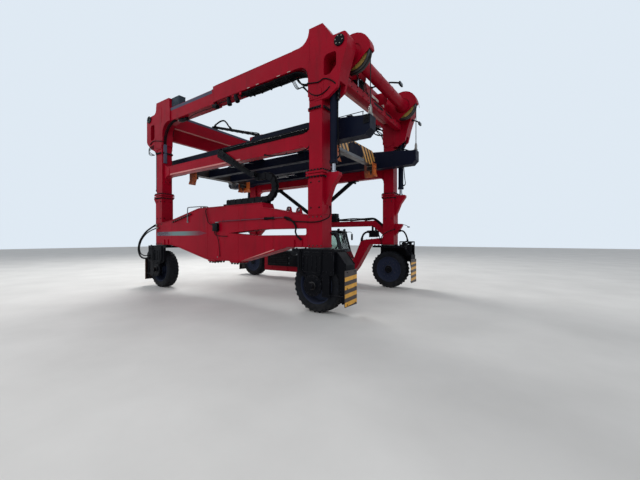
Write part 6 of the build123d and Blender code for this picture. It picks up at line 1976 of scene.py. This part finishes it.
def make_cab():
    seal, black, steel, grey = bmesh.new(), bmesh.new(), bmesh.new(), bmesh.new()
    window = [(0.52, 1.15), (1.395, 1.15), (1.215, 1.82), (0.52, 1.82)]
    y = CAB_Y[0] - 0.002
    add_frame(seal, [(x, y, z) for x, z in window], 0.010, 0.026)
    corners = [(0.446, 1.88, 1.25), (0.446, 2.37, 1.25), (0.446, 2.37, 1.78), (0.446, 1.88, 1.78)]
    add_frame(seal, corners, 0.024, 0.010, (1, 0, 0))
    foot, head = Vector((1.4900, 0, 1.2330)), Vector((1.3190, 0, 1.8490))
    corners = [foot + Vector((0, 1.83, 0)), foot + Vector((0, 2.42, 0)), head + Vector((0, 2.42, 0)),
               head + Vector((0, 1.83, 0))]
    add_frame(seal, corners, 0.026, 0.012, (0.9635, 0, 0.2676))
    # roof cap with a drip edge, visor over the front glass
    add_box(black, (0.445, 1.296), (CAB_Y[0] - 0.012, CAB_Y[1] + 0.012), (1.888, 1.912), 0.006)
    add_box(black, (0.500, 1.240), (CAB_Y[0] + 0.050, CAB_Y[1] - 0.050), (1.908, 1.930), 0.010)
    add_bar(black, (1.300, (CAB_Y[0] + CAB_Y[1]) / 2, 1.895), (1.420, (CAB_Y[0] + CAB_Y[1]) / 2, 1.868), 0.62,
        0.012)
    # wiper
    add_rod(black, (1.500, 2.12, 1.205), (1.524, 2.12, 1.212), 0.018, 12)
    add_bar(black, (1.512, 2.12, 1.215), (1.405, 2.30, 1.600), 0.012, 0.008, (1, 0, 0.27), 0.002)
    add_bar(black, (1.458, 2.33, 1.430), (1.358, 2.26, 1.790), 0.010, 0.012, (1, 0, 0.27), 0.002)
    # mirrors and lamps at both upper front corners
    for y in (CAB_Y[0] + 0.03, CAB_Y[1] - 0.03):
        side = 1 if y > SEAT_MID else -1
        add_swept_rod(black, [(1.300, y, 1.860), (1.420, y, 1.880), (1.520, y, 1.860), (1.560, y, 1.790)], 5,
            0.010, 8)
        add_box(black, (1.545, 1.585), (y - 0.065, y + 0.020) if side > 0 else (y - 0.020, y + 0.065),
            (1.570, 1.800), 0.012)
        add_box(steel, (1.540, 1.546), (y - 0.056, y + 0.011) if side > 0 else (y - 0.011, y + 0.056),
            (1.585, 1.785), 0.002)
        add_turned(black, (1.300, y - side * 0.10, 1.945), (1, 0, -0.1), [(-0.060, 0.0), (-0.055, 0.036),
            (-0.010, 0.052), (0.006, 0.052), (0.006, 0.044), (-0.004, 0.040), (-0.004, 0.0)], 24)
    # nose grille: dark bars over the slanting red front
    for y in spread(CAB_Y[0] + 0.060, CAB_Y[1] - 0.060, 11):
        add_bar(black, (1.522, y, 1.150), (1.640, y, 0.912), 0.012, 0.012, (0.89, 0, 0.44), 0.003)
    for x, z in ((1.520, 1.152), (1.640, 0.910)):
        add_box(black, around(x, 0.010), (CAB_Y[0] + 0.04, CAB_Y[1] - 0.04), around(z, 0.012), 0.003)
    for y in (CAB_Y[0] + 0.10, CAB_Y[1] - 0.10):
        add_solid(black, (1.600, y, 0.720), (1, 0, -0.2), [(-0.03, 0.058), (0.020, 0.064), (0.024, 0.052),
            (0.016, 0.048)], 28)
    # louvre blades low on the inboard side, sill strip
    for row in range(5):
        z = 0.620 + row * 0.050
        add_prism(black, "x", [(CAB_Y[0] - 0.004, z + 0.001), (CAB_Y[0] + 0.012, z + 0.018),
            (CAB_Y[0] + 0.012, z + 0.021), (CAB_Y[0] - 0.007, z + 0.003)], 1.155, 1.445)
    add_box(black, (0.450, 1.500), (CAB_Y[0] - 0.004, CAB_Y[0] + 0.004), (1.088, 1.104), 0.002)
    # beacon
    add_solid(black, (0.62, SEAT_MID, 1.926), (0, 0, 1), [(0.0, 0.052), (0.024, 0.052), (0.028, 0.044)], 28)
    lens = bmesh.new()
    add_turned(lens, (0.62, SEAT_MID, 1.953), (0, 0, 1), [(0.0, 0.0), (0.0, 0.042), (0.055, 0.040),
        (0.075, 0.030), (0.082, 0.0)], 28)
    piece("beacon_lens", lens, AMBER, "chassis", sharp=60)
    # grab rails beside the door
    for x in (0.480, 1.220):
        add_sweep(steel, smooth_line([(x, CAB_Y[1], 0.82), (x, CAB_Y[1] + 0.017, 0.85),
            (x, CAB_Y[1] + 0.017, 1.62), (x, CAB_Y[1], 1.65)], 4), 0.009, 8)
    # console, steering wheel and levers
    add_prism(grey, "y", [(1.20, 0.545), (1.50, 0.545), (1.54, 0.90), (1.38, 1.12), (1.28, 1.10),
        (1.24, 0.88)], 1.86, 2.39, 0.012)
    hub = Vector((1.20, SEAT_MID, 1.16))
    tilt = Vector((-0.5, 0, 0.866))
    add_rod(black, hub - tilt * 0.02, hub - tilt * 0.26 + Vector((0.09, 0, 0)), 0.024, 12)
    axis, side, other = frame_along(tilt)
    ring = [on_circle(hub, side, other, 2 * math.pi * step / 36, 0.155) for step in range(37)]
    add_sweep(black, ring, 0.012, 8)
    for angle in angles(3):
        add_bar(black, hub, on_circle(hub, side, other, angle, 0.150), 0.026, 0.008, tilt)
    for y in (1.875, 2.375):
        add_box(black, (0.76, 1.10), around(y, 0.040), (0.900, 0.945), 0.012)
        add_box(black, (0.80, 0.92), around(y, 0.025), (0.545, 0.905), 0.006)
        add_rod(black, (1.03, y, 0.945), (1.05, y, 1.060), 0.008, 8)
        add_turned(black, (1.05, y, 1.050), (0, 0, 1), [(0.0, 0.0), (0.004, 0.018), (0.030, 0.024),
            (0.055, 0.014), (0.058, 0.0)], 16)
    add_box(black, (1.215, 1.235), (2.30, 2.40), (1.28, 1.42), 0.006)
    add_rod(black, (1.225, 2.35, 1.28), (1.300, 2.35, 1.10), 0.010, 8)
    piece("cab_seals", seal, HOSE, "chassis")
    piece("cab_black_parts", black, BLACK, "chassis")
    piece("cab_steel_parts", steel, STEEL, "chassis")
    piece("cab_console", grey, PLASTIC, "chassis")

    # door: seal round its window, handle, lock, kick plate
    seal, black = bmesh.new(), bmesh.new()
    corners = [(0.59, 1.20), (1.09, 1.20), (1.09, 1.76), (0.59, 1.76)]
    add_frame(seal, [(x, CAB_Y[1] + 0.002, z) for x, z in corners], 0.010, 0.024)
    add_box(black, (1.060, 1.120), (CAB_Y[1] - 0.002, CAB_Y[1] + 0.006), (1.040, 1.160), 0.003)
    add_rod(black, (1.040, CAB_Y[1] + 0.016, 1.125), (1.125, CAB_Y[1] + 0.016, 1.125), 0.009, 10)
    add_rod(black, (1.115, CAB_Y[1] + 0.001, 1.125), (1.115, CAB_Y[1] + 0.020, 1.125), 0.008, 10)
    add_box(black, (0.560, 1.120), (CAB_Y[1] - 0.002, CAB_Y[1] + 0.004), (0.620, 0.760), 0.003)
    add_bolts(black, [(x, CAB_Y[1] + 0.004, z) for x in (0.58, 1.10) for z in (0.635, 0.745)], (0, 1, 0),
        0.014, 0.006)
    piece("door_seal", seal, HOSE, "cab_door")
    piece("door_fittings", black, BLACK, "cab_door")


def make_carrier():
    """Open hose carrier bolted to the top plate of the front left wheel unit."""
    form = bmesh.new()
    x_low, x_high = LEG_X + 0.370, LEG_X + 0.770
    for y in around(LEG_Y, 0.15):
        for x in (x_low, x_high - 0.03):
            add_box(form, (x, x + 0.030), around(y, 0.012), (1.10 if x > x_low else 1.39, 1.540), 0.003)
        for z in (1.525, 1.420):
            add_box(form, (x_low, x_high), around(y, 0.010), around(z, 0.016), 0.003)
        add_bar(form, (x_low + 0.01, y, 1.40), (x_high - 0.01, y, 1.53), 0.014, 0.030)
        add_box(form, (x_high - 0.16, x_high), around(y, 0.010), (1.100, 1.425), 0.003)
    for x in (x_low + 0.015, x_low + 0.20, x_high - 0.015):
        for z in (1.525, 1.425):
            add_box(form, around(x, 0.014), around(LEG_Y, 0.150), around(z, 0.012), 0.003)
    add_box(form, (x_low + 0.05, x_low + 0.16), (LEG_Y - 0.10, LEG_Y + 0.04), (1.395, 1.500), 0.008)
    piece("hose_carrier", form, BLACK, "steer_front_left")
    form = bmesh.new()
    for lane in (-0.05, 0.0, 0.05):
        add_hose(form, [(x_low + 0.10, LEG_Y + lane, 1.495), (x_low + 0.18, LEG_Y + lane, 1.545),
            (x_low + 0.28, LEG_Y + lane * 1.4, 1.480), (x_low + 0.32, LEG_Y + lane * 1.6, 1.30),
            (x_low + 0.31, LEG_Y + lane * 1.6, 1.14)], 0.012)
    piece("carrier_hoses", form, HOSE, "steer_front_left")


make_left_side()
make_power_pack()
make_seat()
make_cab()
make_carrier()


# Floor
ground = bmesh.new()
bmesh.ops.create_grid(ground, x_segments=8, y_segments=8, size=60)
floor = piece("studio_floor", ground, floor_finish(), None)
